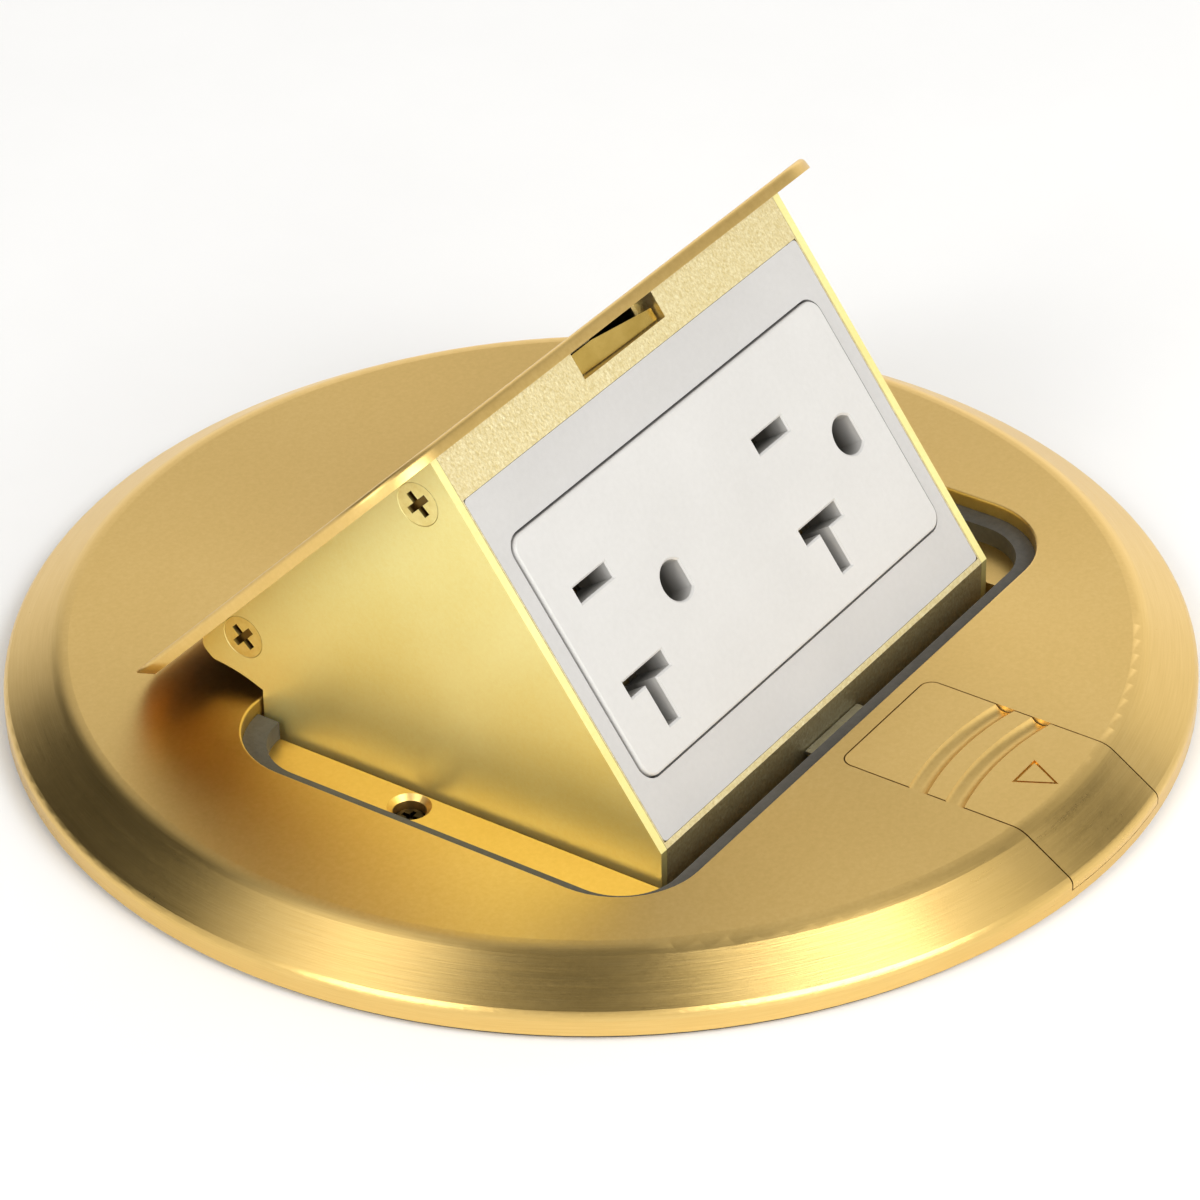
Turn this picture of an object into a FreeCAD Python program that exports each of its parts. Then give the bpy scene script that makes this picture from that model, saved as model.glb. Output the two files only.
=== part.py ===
import FreeCAD, Part
import math
import os

# Pop-up floor socket box: a round brass floor cover whose lid tilts up with a duplex outlet, over a
# round steel box set in the floor. Millimetres, +Z up. +X runs along the lid's hinge and -Y points to
# the latch slider. Everything is drawn from the cover's centre on the finished floor, and lifted when
# it is written, so that the origin is the centre of the box's underside. The pop-up unit is drawn
# shut, with its lid level, and then turned about its hinge pins to the open pose.

V = FreeCAD.Vector

# ---- fits and clearances
RUN_FIT = 0.05          # radial clearance of a pin in a turning eye
SEAM = 0.4              # gap round the lid in its opening
SLIDE_GAP = 0.2         # gap on each side of the latch slider
STOP_GAP = 0.3          # gap left between the arm's stop face and the cover's edge
PANEL_GAP = 0.9         # from a side panel to the frame's aperture
SEAT_GAP = 0.05         # gap between pieces that are laid or dropped in place

# ---- box in the floor and cover plate over it
BOX_R = 65.0
BOX_WALL = 1.6
BOX_DEPTH = 70.0
BOX_BEND = 2.0
COVER_R = BOX_R + 10.0  # outer radius of the cover
FLAT_R = COVER_R - 7.2  # where the flat top turns down into the bevel
COVER_TOP = 8.2         # height of the flat top over the floor
RIM_TOP = 3.5           # height of the bevel's outer edge
BEVEL_SOFT = 4.0        # rounding where the flat turns down
RIM_SOFT = 1.3          # rounding of the rim
PLATE_T = 2.4           # thickness of the flat part
HOLLOW_R = BOX_R + 0.6  # inside of the rim
FLOOR_SEAL_T = 0.8      # floor gasket under the rim
FLOOR_SEAL_IN = HOLLOW_R + 0.8
FLOOR_SEAL_OUT = COVER_R - 0.8

# ---- opening in the cover, and the lid that shuts it
OPEN_HALF = 48.9
OPEN_FRONT = -39.4
OPEN_BACK = 24.9
OPEN_CORNER = 11.0
OPEN_EDGE = 0.3         # rounding of the opening's top edge
LID_T = 1.7
LID_BACK_GAP = 0.75     # wider than the seam, so that the lid's back edge can swing out
LID_LAND = 0.3          # upright part of the lid's back edge
LID_SOFT = 0.25         # rounding of the lid's top edge
LID_BEVEL = 3.1         # undercut of the lid's back edge

# ---- hinge of the pop-up unit
PIVOT_Y = 33.5
PIVOT_Z = -10.2
OPEN_DEG = 46.5         # swing from shut to open
PIN_R = 2.0
EYE_R = 4.6
EAR_T = 2.5
EAR_IN_X = 28.4         # inner face of the inner ear

# ---- front face of the pop-up unit, which leans forward when shut
FACE_DEG = 100.5        # direction of the face above the level, lid shut
FACE_TOP_Y = -36.1      # where the face meets the lid's underside
FACE_ABOVE = 29.7       # from the outlet's centre up to the lid
FACE_BELOW = 24.3       # from the outlet's centre down to the lower edge
CHIN = 8.0              # lower edge, upright when the unit is open
PANEL_X = 37.5          # outer face of a side panel
PANEL_T = 1.2
FRAME_T = 4.0           # cast front frame
PLATE_HALF = 36.0       # white surround
PLATE_TOP = 23.7
PLATE_LOW = -23.5
SURROUND_T = 2.0
NOTCH_HALF = 8.7        # latch notch in the frame's top bar
NOTCH_LOW = 26.1
NOTCH_DEPTH = 3.7
LEAF_T = 0.6

# ---- side panel outline, lid shut
TAB_END_Y = 16.9        # back end of the panel's tab under the lid
NECK_R = 21.6           # hollow of the neck about the hinge pin
NECK_DEG = 160.9        # where the hollow turns into the stop face
STOP_LENGTH = 7.2
ARM_LOW_Y = 20.0
ARM_LOW_Z = -19.5
HEEL_Y = 9.0
HEEL_Z = -38.0
BELLY_Y = -2.0
SCREW_FRONT_Y = -30.0   # panel screws, lid shut
SCREW_BACK_Y = 9.9
SCREW_DROP = 3.0        # below the lid's underside

# ---- outlet: two grounded sockets of the T-slot kind, side by side
DEVICE_HALF_X = 33.4
DEVICE_HALF_W = 16.65
DEVICE_CORNER = 2.2
DEVICE_PROUD = 0.4
DEVICE_FACE_T = 6.0
BODY_HALF_X = 33.0
BODY_HALF_W = 13.6
BODY_DEPTH = 19.0
SOCKET_PITCH = 38.9
SOCKET_FIRST_X = -24.9  # blades of the left socket
BLADE_W = 6.35          # each blade slot from the socket's centre line
HOT_LONG = 6.6
SLOT_WIDE = 2.1
T_LONG = 8.2
T_STEM = 5.6
GROUND_X = 12.2         # ground hole from the blades
GROUND_R = 2.6
GROUND_FLAT = 1.9       # flat side of the ground hole from its centre
TERMINAL_X = 12.0       # wire terminals in the outlet's flanks
TERMINAL_UP = 7.0
TERMINAL_SINK = 1.8
TERMINAL_R = 1.6
TERMINAL_LONG = 2.9
STRAP_T = 1.2
STRAP_SCREW_X = 29.0
STRAP_SCREW_W = 20.2

# ---- rear cover and its wire hole, lid shut
REAR_Y = 11.5
REAR_T = 1.0
REAR_BEND_Z = -22.5
REAR_KNEE_Y = 2.0
REAR_KNEE_Z = -41.0
CORD_Z = -15.2
CORD_R = 4.5

# ---- lid seal and hinge frame under the cover
LEDGE_Z = 3.8
LID_SEAL_T = 2.5
SEAL_SIDE = 2.8
SEAL_BACK = 3.3
SEAL_FRONT = 2.7
FRAME_HALF = 53.0
FRAME_FRONT = -43.3
FRAME_BACK = 42.0
FRAME_R = HOLLOW_R - 1.0
APERTURE_FRONT = -36.7
APERTURE_BACK = 22.6
ARM_SLOT_BACK = 28.4
FIX_X = 41.2            # sunk screws that hold the cover to the box ring
FIX_MOUTH_R = 2.75
FIX_HEAD_R = 2.0
FIX_HEAD_H = 1.0
FIX_SHANK_R = 1.25
FIX_SEAT_Z = 1.3
FIX_LONG = 5.2

# ---- latch slider
SLIDER_HALF = 10.2
SLOT_IN_Y = -41.6
SLOT_FLOOR = 2.1
SLIDER_T = 3.2
FLANGE_HALF = 12.8
FLANGE_T = 1.4
FLANGE_IN_Y = -46.0
FLANGE_OUT_Y = -60.0
LATCH_TRAVEL = 3.0
TONGUE_HALF = 6.0
TONGUE_T = 0.5
TONGUE_TIP_Y = -34.2
LUG_HALF = 4.0
LUG_LOW = 1.95
LUG_OUT_Y = -56.2
LUG_LONG = 4.9
GRIP_YS = (-51.6, -56.7)
GRIP_R = 1.5
GRIP_DEPTH = 0.7
GRIP_BOW = 45.0
ARROW_Y = -61.3
ARROW_LONG = 4.9
ARROW_HALF = 2.7
ARROW_CUT = 0.35
RETAINER_HALF = 22.0
RETAINER_T = 1.1
RETAINER_LOW = 0.6
STOP_WALL_Y = -64.2     # end wall that the latch spring pushes on
STOP_WALL_TOP = 4.6
RETAINER_SCREW_X = 17.6
RETAINER_SCREW_Y = -53.0

# ---- fittings of the box
RING_T = 2.0
RING_MARGIN = 0.8       # box ring's aperture beyond the frame's
RING_CORNER = 2.5
FOOT_COUNT = 4
FOOT_PCD = 2 * (BOX_R + 4.5)
FOOT_HOLE_R = 2.2
FOOT_T = 2.0
FOOT_HALF = 6.0
FOOT_OUT = BOX_R + 8.5
KNOCKOUT_R = 11.1
KNOCKOUT_Z = -42.0
KNOCKOUT_DEGS = (0.0, 180.0, 270.0)
CONDUIT_DEG = 90.0
TUBE_R = 9.0            # hub bore for a thin-wall tube
THROAT_R = 7.8
HUB_R = 13.2
CONDUIT_OUT = 12.0      # how far the connector stands out of the box
TUBE_DEPTH = 9.6
SET_SCREW_R = 1.6


# ---- small helpers
def box(x0, x1, y0, y1, z0, z1):
    return Part.makeBox(x1 - x0, y1 - y0, z1 - z0, V(x0, y0, z0))


def cylinder(radius, start, along):
    return Part.makeCylinder(radius, along.Length, start, along)


def rounded_wire(x0, x1, y0, y1, radius, z=0.0):
    """Rectangle with round corners, as a closed wire in the plane of the given height."""
    edges = []
    corners = ((x1, y1, 0), (x0, y1, 90), (x0, y0, 180), (x1, y0, 270))
    arcs = []
    for x, y, start in corners:
        cx = x - math.copysign(radius, x - (x0 + x1) / 2)
        cy = y - math.copysign(radius, y - (y0 + y1) / 2)
        points = []
        for turn in (start, start + 45, start + 90):
            a = math.radians(turn)
            points.append(V(cx + radius * math.cos(a), cy + radius * math.sin(a), z))
        arcs.append(points)
    for i, points in enumerate(arcs):
        edges.append(Part.Arc(*points).toShape())
        nxt = arcs[(i + 1) % 4][0]
        edges.append(Part.LineSegment(points[2], nxt).toShape())
    return Part.Wire(edges)


def rounded_prism(x0, x1, y0, y1, radius, z0, z1):
    face = Part.Face(rounded_wire(x0, x1, y0, y1, radius, z0))
    return face.extrude(V(0, 0, z1 - z0))


def yz_prism(points, x0, x1):
    """Closed outline in the Y-Z plane, run along X."""
    ring = [V(x0, y, z) for y, z in points]
    face = Part.Face(Part.makePolygon(ring + ring[:1]))
    return face.extrude(V(x1 - x0, 0, 0))


def revolved(profile):
    """Closed outline of (radius, height) pairs, turned about Z."""
    ring = [V(r, 0, z) for r, z in profile]
    face = Part.Face(Part.makePolygon(ring + ring[:1]))
    return face.revolve(V(0, 0, 0), V(0, 0, 1), 360)


def round_x_edges(shape, spots, radius):
    """Rounds the edges that run along X through the given (y, z) spots."""
    picked = []
    for edge in shape.Edges:
        a, b = edge.Vertexes[0].Point, edge.Vertexes[-1].Point
        if abs(a.x - b.x) < 0.5 or math.hypot(a.y - b.y, a.z - b.z) > 0.01:
            continue
        if any(math.hypot(a.y - y, a.z - z) < 0.02 for y, z in spots):
            picked.append(edge)
    return shape.makeFillet(radius, picked)


def edges_at_height(shape, z):
    return [e for e in shape.Edges if all(abs(v.Point.z - z) < 1e-4 for v in e.Vertexes)]


def mirror_x(shape):
    return shape.mirror(V(0, 0, 0), V(1, 0, 0))


def cross_recess(size, depth):
    """Cross-head driver recess, its mouth at the origin and cut downwards."""
    arm = size / 3.8
    top = SEAT_GAP
    cross = box(-size / 2, size / 2, -arm / 2, arm / 2, -depth, top)
    return cross.fuse(box(-arm / 2, arm / 2, -size / 2, size / 2, -depth, top))


def flat_screw(head_r, shank_r, length):
    """Countersunk screw, its flat head at the origin and its tip down -Z."""
    sink = head_r - shank_r
    head = Part.makeCone(shank_r, head_r, sink, V(0, 0, -sink))
    shank = cylinder(shank_r, V(0, 0, -sink), V(0, 0, sink - length))
    return head.fuse(shank).cut(cross_recess(head_r * 1.25, sink * 0.7)).removeSplitter()


def pan_screw(head_r, head_h, shank_r, length):
    """Pan-head screw seated at the origin, its tip down -Z."""
    head = cylinder(head_r, V(0, 0, 0), V(0, 0, head_h))
    head = head.makeChamfer(head_h * 0.4, edges_at_height(head, head_h))
    shank = cylinder(shank_r, V(0, 0, 0), V(0, 0, -length))
    recess = cross_recess(head_r * 1.1, head_h * 0.6)
    recess.translate(V(0, 0, head_h))
    return head.fuse(shank).cut(recess).removeSplitter()


def countersink(head_r, shank_r, depth):
    """Hole for a flat screw, its mouth at the origin and cut downwards."""
    big = head_r + SEAT_GAP
    small = shank_r + SEAT_GAP
    sink = Part.makeCone(small, big, big - small, V(0, 0, small - big))
    mouth = cylinder(big, V(0, 0, 0), V(0, 0, 1))
    return sink.fuse([mouth, cylinder(small, V(0, 0, 0), V(0, 0, -depth))])


def placed_at(shape, where):
    """Copy moved from the origin to a point."""
    copy = shape.copy()
    copy.translate(where)
    return copy


def placed(shape, where, towards=V(0, 0, 1)):
    """Copy with its own +Z turned to the given direction and its origin moved to a point."""
    copy = shape.copy()
    copy.Placement = FreeCAD.Placement(where, FreeCAD.Rotation(V(0, 0, 1), towards))
    return copy


def coil(wire_r, mean_r, pitch, turns, start, along):
    """Spring of four-sided wire that begins at a point and runs along a direction."""
    helix = Part.makeHelix(pitch, pitch * turns, mean_r)
    corners = [V(mean_r + wire_r * x, 0, wire_r * z) for x, z in ((1, 0), (0, 1), (-1, 0), (0, -1))]
    section = Part.makePolygon(corners + corners[:1])
    pipe = Part.Wire(helix.Edges).makePipeShell([section], True, True)
    return placed(pipe, start, along)


# ---- sizes that follow from the ones above
LID_UNDER = COVER_TOP - LID_T
PLATE_UNDER = COVER_TOP - PLATE_T
LID_BACK = OPEN_BACK - LID_BACK_GAP
LID_FRONT = OPEN_FRONT + SEAM
LID_HALF = OPEN_HALF - SEAM
PANEL_IN_X = PANEL_X - PANEL_T
APERTURE_HALF = PANEL_X + PANEL_GAP
FRAME_HALF_X = PANEL_IN_X - SEAT_GAP
ARM_SLOT_IN_X = PANEL_IN_X - PANEL_GAP
EAR_OUT_X = PANEL_X + PANEL_GAP
PIVOT = V(0, PIVOT_Y, PIVOT_Z)
FACE_UP = (math.cos(math.radians(FACE_DEG)), math.sin(math.radians(FACE_DEG)))
FACE_Y = FACE_TOP_Y - FACE_ABOVE * FACE_UP[0]
FACE_Z = LID_UNDER - FACE_ABOVE * FACE_UP[1]
SOCKET_XS = (SOCKET_FIRST_X, SOCKET_FIRST_X + SOCKET_PITCH)
PANEL_SCREW = (2.85, 1.5, 6.5)
SMALL_SCREW = (2.4, 1.25, 6.2)


def opened(shape):
    """Turns a piece of the pop-up unit from the shut pose to the open one."""
    turned = shape.copy()
    turned.rotate(PIVOT, V(1, 0, 0), -OPEN_DEG)
    return turned


def on_face(shape):
    """Carries a piece drawn flat, with +Y up the face and +Z out of it, onto the front face."""
    moved = shape.copy()
    moved.rotate(V(0, 0, 0), V(1, 0, 0), FACE_DEG)
    moved.translate(V(0, FACE_Y, FACE_Z))
    return moved


def face_point(up, out=0.0):
    """Point in the Y-Z plane, this far above the outlet's centre and out of the front face."""
    return (FACE_Y + up * FACE_UP[0] - out * FACE_UP[1], FACE_Z + up * FACE_UP[1] + out * FACE_UP[0])


def about_pivot(radius, degrees):
    a = math.radians(degrees)
    return (PIVOT_Y + radius * math.cos(a), PIVOT_Z + radius * math.sin(a))


# ---- cover plate, floor gasket and hinge frame
def cover_blank(bottom):
    """The cover's outer form down to a given height: flat top, bevel and upright rim."""
    blank = revolved([(0, bottom), (COVER_R, bottom), (COVER_R, RIM_TOP), (FLAT_R, COVER_TOP),
                      (0, COVER_TOP)])
    blank = blank.makeFillet(RIM_SOFT, edges_at_height(blank, RIM_TOP))
    return blank.makeFillet(BEVEL_SOFT, edges_at_height(blank, COVER_TOP))


def slider_slot(gap, floor):
    """Straight slot from near the opening out through the rim."""
    half = SLIDER_HALF + gap
    inner = SLOT_IN_Y - SLIDE_GAP + gap
    slot = box(-half, half, -COVER_R - 5, inner, floor, COVER_TOP + 1)
    corners = [e for e in slot.Edges
               if all(abs(v.Point.y - inner) < 1e-6 for v in e.Vertexes)
               and abs(e.Vertexes[0].Point.z - e.Vertexes[-1].Point.z) > 1]
    return slot.makeFillet(1.6 + gap, corners)


def opening_prism(inset, z0, z1):
    return rounded_prism(-OPEN_HALF + inset, OPEN_HALF - inset, OPEN_FRONT + inset, OPEN_BACK - inset,
                         OPEN_CORNER - inset, z0, z1)


def cover_plate():
    plate = cover_blank(FLOOR_SEAL_T)
    hollow = cylinder(HOLLOW_R, V(0, 0, 0), V(0, 0, PLATE_UNDER))
    plate = plate.cut(hollow)
    mouth = opening_prism(0, 0, COVER_TOP + 1)
    plate = plate.cut(mouth)
    inner = [e for e in edges_at_height(plate, COVER_TOP)
             if e.BoundBox.XMax < FLAT_R - 5 and e.BoundBox.YMax < OPEN_BACK + 1
             and e.BoundBox.YMin > OPEN_FRONT - 1]
    plate = plate.makeFillet(OPEN_EDGE, inner)
    plate = plate.cut(slider_slot(SLIDE_GAP, SLOT_FLOOR))
    for x in (-RETAINER_SCREW_X, RETAINER_SCREW_X):
        hole = cylinder(SMALL_SCREW[1] + SEAT_GAP, V(x, RETAINER_SCREW_Y, PLATE_UNDER - 1),
                        V(0, 0, 1 + PLATE_T * 0.7))
        plate = plate.cut(hole)
    return plate


def floor_gasket():
    ring = cylinder(FLOOR_SEAL_OUT, V(0, 0, 0), V(0, 0, FLOOR_SEAL_T))
    return ring.cut(cylinder(FLOOR_SEAL_IN, V(0, 0, -1), V(0, 0, FLOOR_SEAL_T + 2)))


def arm_slots(back, z0, z1):
    """Clearance for the two arms, behind the aperture."""
    right = box(ARM_SLOT_IN_X, APERTURE_HALF, APERTURE_BACK - 4, back, z0, z1)
    return right.fuse(mirror_x(right))


def ear(x0):
    """Hanging ear that carries one end of a hinge pin."""
    block = box(x0, x0 + EAR_T, PIVOT_Y - EYE_R, PIVOT_Y + EYE_R, PIVOT_Z, 0)
    foot = cylinder(EYE_R, V(x0, PIVOT_Y, PIVOT_Z), V(EAR_T, 0, 0))
    hole = cylinder(PIN_R, V(x0 - 1, PIVOT_Y, PIVOT_Z), V(EAR_T + 2, 0, 0))
    return block.fuse(foot).cut(hole)


def hinge_frame():
    slab = box(-FRAME_HALF, FRAME_HALF, FRAME_FRONT, FRAME_BACK, 0, PLATE_UNDER)
    frame = slab.common(cylinder(FRAME_R, V(0, 0, -1), V(0, 0, PLATE_UNDER + 2)))
    frame = frame.cut(opening_prism(0, LEDGE_Z, PLATE_UNDER + 1))
    aperture = rounded_prism(-APERTURE_HALF, APERTURE_HALF, APERTURE_FRONT, APERTURE_BACK, 1.5, -1,
                             PLATE_UNDER + 1)
    groove = box(-TONGUE_HALF - SLIDE_GAP, TONGUE_HALF + SLIDE_GAP, FRAME_FRONT - 1,
                 APERTURE_FRONT + 1, LEDGE_Z - 2 * TONGUE_T * 0.8, PLATE_UNDER + 1)
    frame = frame.cut([aperture, arm_slots(ARM_SLOT_BACK, -1, PLATE_UNDER + 1), groove])
    lead_in = Part.makeCone(FIX_HEAD_R + 0.1, FIX_MOUTH_R, FIX_MOUTH_R - FIX_HEAD_R - 0.1)
    well = cylinder(FIX_HEAD_R + 0.1, V(0, 0, 0), V(0, 0, -LEDGE_Z + FIX_SEAT_Z))
    shank = cylinder(FIX_SHANK_R + SEAT_GAP, V(0, 0, 0), V(0, 0, -LEDGE_Z - 1))
    lead_in.translate(V(0, 0, -FIX_MOUTH_R + FIX_HEAD_R + 0.1))
    for x in (-FIX_X, FIX_X):
        for cutter in (lead_in, well, shank):
            frame = frame.cut(placed_at(cutter, V(x, 0, LEDGE_Z)))
    ears = []
    for x0 in (EAR_IN_X, EAR_OUT_X):
        ears += [ear(x0), mirror_x(ear(x0))]
    return frame.fuse(ears).removeSplitter()


def lid_gasket():
    top = LEDGE_Z + LID_SEAL_T
    ring = opening_prism(SEAT_GAP, LEDGE_Z, top)
    bore = rounded_prism(-OPEN_HALF + SEAL_SIDE, OPEN_HALF - SEAL_SIDE, OPEN_FRONT + SEAL_FRONT,
                         OPEN_BACK - SEAL_BACK, OPEN_CORNER - SEAL_BACK, 0, top + 1)
    tunnel = box(-TONGUE_HALF - SLIDE_GAP, TONGUE_HALF + SLIDE_GAP, OPEN_FRONT - 1,
                 OPEN_FRONT + SEAL_FRONT + 1, 0, LEDGE_Z + 2 * TONGUE_T)
    return ring.cut([bore, arm_slots(OPEN_BACK + 1, 0, top + 1), tunnel])


def fixing_screws():
    screw = pan_screw(FIX_HEAD_R, FIX_HEAD_H, FIX_SHANK_R, FIX_LONG)
    return Part.makeCompound([placed_at(screw, V(x, 0, FIX_SEAT_Z + SEAT_GAP)) for x in (-FIX_X, FIX_X)])


def hinge_pins():
    start = EAR_IN_X - 0.6
    length = EAR_OUT_X + EAR_T + 0.6 - start
    pin = cylinder(PIN_R, V(start, PIVOT_Y, PIVOT_Z), V(length, 0, 0))
    pin = pin.makeChamfer(0.3, [e for e in pin.Edges if e.Closed])
    return Part.makeCompound([pin, mirror_x(pin)])


def torsion_springs():
    """Wound round each pin: one leg stands under the frame, the other lies along the arm."""
    wire = 0.45
    mean = PIN_R + 0.35 + wire
    start_x = EAR_IN_X + EAR_T + 0.4 + wire
    end_x = PANEL_IN_X - 0.4 - wire
    turns = 3.25
    winding = coil(wire, mean, (end_x - start_x) / turns, turns, V(start_x, PIVOT_Y, PIVOT_Z), V(1, 0, 0))
    winding.rotate(PIVOT, V(1, 0, 0), 90)
    frame_leg = cylinder(wire, V(start_x, PIVOT_Y + mean, PIVOT_Z), V(0, 0, -PIVOT_Z - SEAT_GAP))
    arm_leg = cylinder(wire, V(end_x, PIVOT_Y, PIVOT_Z + mean), V(0, -9, 0))
    spring = winding.fuse([frame_leg, arm_leg])
    return Part.makeCompound([spring, mirror_x(spring)])


# ---- pop-up unit, drawn shut
def panel_screw_seats(y):
    """Countersunk holes for the pair of panel screws at one place along the lid."""
    sink = countersink(PANEL_SCREW[0] + SEAT_GAP, PANEL_SCREW[1], PANEL_SCREW[2] + PANEL_T)
    right = placed(sink, V(PANEL_X, y, LID_UNDER - SCREW_DROP), V(1, 0, 0))
    return right.fuse(mirror_x(right))


def lid():
    corner = OPEN_CORNER - SEAM
    land = rounded_prism(-LID_HALF, LID_HALF, LID_FRONT, LID_BACK, corner, COVER_TOP - LID_LAND,
                         COVER_TOP)
    upper = rounded_wire(-LID_HALF, LID_HALF, LID_FRONT, LID_BACK, corner, COVER_TOP - LID_LAND)
    lower = rounded_wire(-LID_HALF, LID_HALF, LID_FRONT, LID_BACK - LID_BEVEL, corner, LID_UNDER)
    skirt = Part.makeLoft([lower, upper], True, True)
    plate = land.fuse(skirt).removeSplitter()
    plate = plate.makeFillet(LID_SOFT, edges_at_height(plate, COVER_TOP))
    for x in (1, -1):
        x0 = x * (PANEL_IN_X - SEAT_GAP)
        x1 = x * (PANEL_IN_X - 4.5)
        lug = box(min(x0, x1), max(x0, x1), SCREW_BACK_Y - 3.2, SCREW_BACK_Y + 3.2,
                  LID_UNDER - SCREW_DROP - 3.2, LID_UNDER)
        plate = plate.fuse(lug.cut(panel_screw_seats(SCREW_BACK_Y)))
    return plate.removeSplitter()


def panel_outline():
    """Outline of a side panel in the Y-Z plane: face edge, chin, belly, arm, neck and tab."""
    front_top = face_point(FACE_ABOVE)
    front_low = face_point(-FACE_BELOW)
    swing = math.radians(OPEN_DEG)
    chin = (front_low[0] + CHIN * math.sin(swing), front_low[1] - CHIN * math.cos(swing))
    belly = (BELLY_Y, chin[1])
    neck_end = about_pivot(NECK_R, NECK_DEG)
    stop_end = (neck_end[0] + STOP_LENGTH * math.sin(swing), neck_end[1] - STOP_LENGTH * math.cos(swing))
    tab_low = PIVOT_Z + math.sqrt(NECK_R ** 2 - (PIVOT_Y - TAB_END_Y) ** 2)
    return {"front_top": front_top, "front_low": front_low, "chin": chin, "belly": belly,
            "heel": (HEEL_Y, HEEL_Z), "arm_low": (ARM_LOW_Y, ARM_LOW_Z),
            "neck_end": neck_end, "stop_end": stop_end, "tab_low": (TAB_END_Y, tab_low),
            "tab_top": (TAB_END_Y, LID_UNDER)}


def side_panel():
    o = panel_outline()
    eye_low = about_pivot(EYE_R, 262)
    eye_top = about_pivot(EYE_R, 100)
    x = PANEL_IN_X

    def p(point):
        return V(x, point[0], point[1])

    route = [o["front_top"], o["front_low"], o["chin"], o["belly"], o["heel"], o["arm_low"], eye_low]
    edges = [Part.LineSegment(p(a), p(b)).toShape() for a, b in zip(route, route[1:])]
    edges.append(Part.Arc(p(eye_low), p(about_pivot(EYE_R, 0)), p(eye_top)).toShape())
    edges.append(Part.LineSegment(p(eye_top), p(o["stop_end"])).toShape())
    edges.append(Part.LineSegment(p(o["stop_end"]), p(o["neck_end"])).toShape())
    tab_deg = math.degrees(math.atan2(o["tab_low"][1] - PIVOT_Z, o["tab_low"][0] - PIVOT_Y))
    middle = about_pivot(NECK_R, (NECK_DEG + tab_deg) / 2)
    edges.append(Part.Arc(p(o["neck_end"]), p(middle), p(o["tab_low"])).toShape())
    edges.append(Part.LineSegment(p(o["tab_low"]), p(o["tab_top"])).toShape())
    edges.append(Part.LineSegment(p(o["tab_top"]), p(o["front_top"])).toShape())
    panel = Part.Face(Part.Wire(edges)).extrude(V(PANEL_T, 0, 0))
    panel = round_x_edges(panel, [o["tab_top"], o["tab_low"]], 1.4)
    panel = round_x_edges(panel, [o["stop_end"], o["arm_low"]], 2.0)
    panel = round_x_edges(panel, [o["belly"], o["heel"]], 5.0)
    eye = cylinder(PIN_R + RUN_FIT, V(x - 1, PIVOT_Y, PIVOT_Z), V(PANEL_T + 2, 0, 0))
    panel = panel.cut(eye)
    return panel.cut([panel_screw_seats(SCREW_FRONT_Y), panel_screw_seats(SCREW_BACK_Y)])


def panel_screws():
    screw = flat_screw(*PANEL_SCREW)
    group = []
    for y in (SCREW_FRONT_Y, SCREW_BACK_Y):
        one = placed(screw, V(PANEL_X - SEAT_GAP, y, LID_UNDER - SCREW_DROP), V(1, 0, 0))
        group += [one, mirror_x(one)]
    return Part.makeCompound(group)


def front_frame():
    """Cast frame behind the white surround: top bar with the latch notch, rails and chin."""
    top = FACE_ABOVE + 0.5
    slab = box(-FRAME_HALF_X, FRAME_HALF_X, -FACE_BELOW, top, -FRAME_T, 0)
    bed = box(-PLATE_HALF - SEAT_GAP, PLATE_HALF + SEAT_GAP, PLATE_LOW - SEAT_GAP, PLATE_TOP + SEAT_GAP,
              -SURROUND_T, 1)
    window = rounded_prism(-DEVICE_HALF_X - 0.8, DEVICE_HALF_X + 0.8, -DEVICE_HALF_W - 0.8,
                           DEVICE_HALF_W + 0.8, 2.5, -FRAME_T - 1, 1)
    notch = box(-NOTCH_HALF, NOTCH_HALF, NOTCH_LOW, FACE_ABOVE + 1, -NOTCH_DEPTH, 1)
    vent = box(-1, NOTCH_HALF - 0.6, NOTCH_LOW + 1.2, FACE_ABOVE + 1, -FRAME_T - 1, 1)
    post = box(FRAME_HALF_X - 7.5, FRAME_HALF_X, PLATE_TOP - 0.5, top, -FRAME_T - 5, -FRAME_T)
    frame = slab.cut([bed, window, notch, vent]).fuse([post, mirror_x(post)])
    for x in (-STRAP_SCREW_X, STRAP_SCREW_X):
        for w in (-STRAP_SCREW_W, STRAP_SCREW_W):
            frame = frame.cut(cylinder(SMALL_SCREW[1] + SEAT_GAP, V(x, w, -FRAME_T - 1), V(0, 0, 2.8)))
    frame = on_face(frame)
    level = box(-PANEL_X, PANEL_X, LID_FRONT, 0, LID_UNDER, COVER_TOP)
    low = face_point(-FACE_BELOW)
    swing = math.radians(OPEN_DEG)
    reach = CHIN - 0.8
    tip = (low[0] + reach * math.sin(swing), low[1] - reach * math.cos(swing))
    heel = (tip[0] + 2.4 * math.cos(swing), tip[1] + 2.4 * math.sin(swing))
    chin = yz_prism([low, tip, heel, face_point(-FACE_BELOW, -FRAME_T)], -FRAME_HALF_X, FRAME_HALF_X)
    return frame.cut([level, panel_screw_seats(SCREW_FRONT_Y)]).fuse(chin).removeSplitter()


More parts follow.
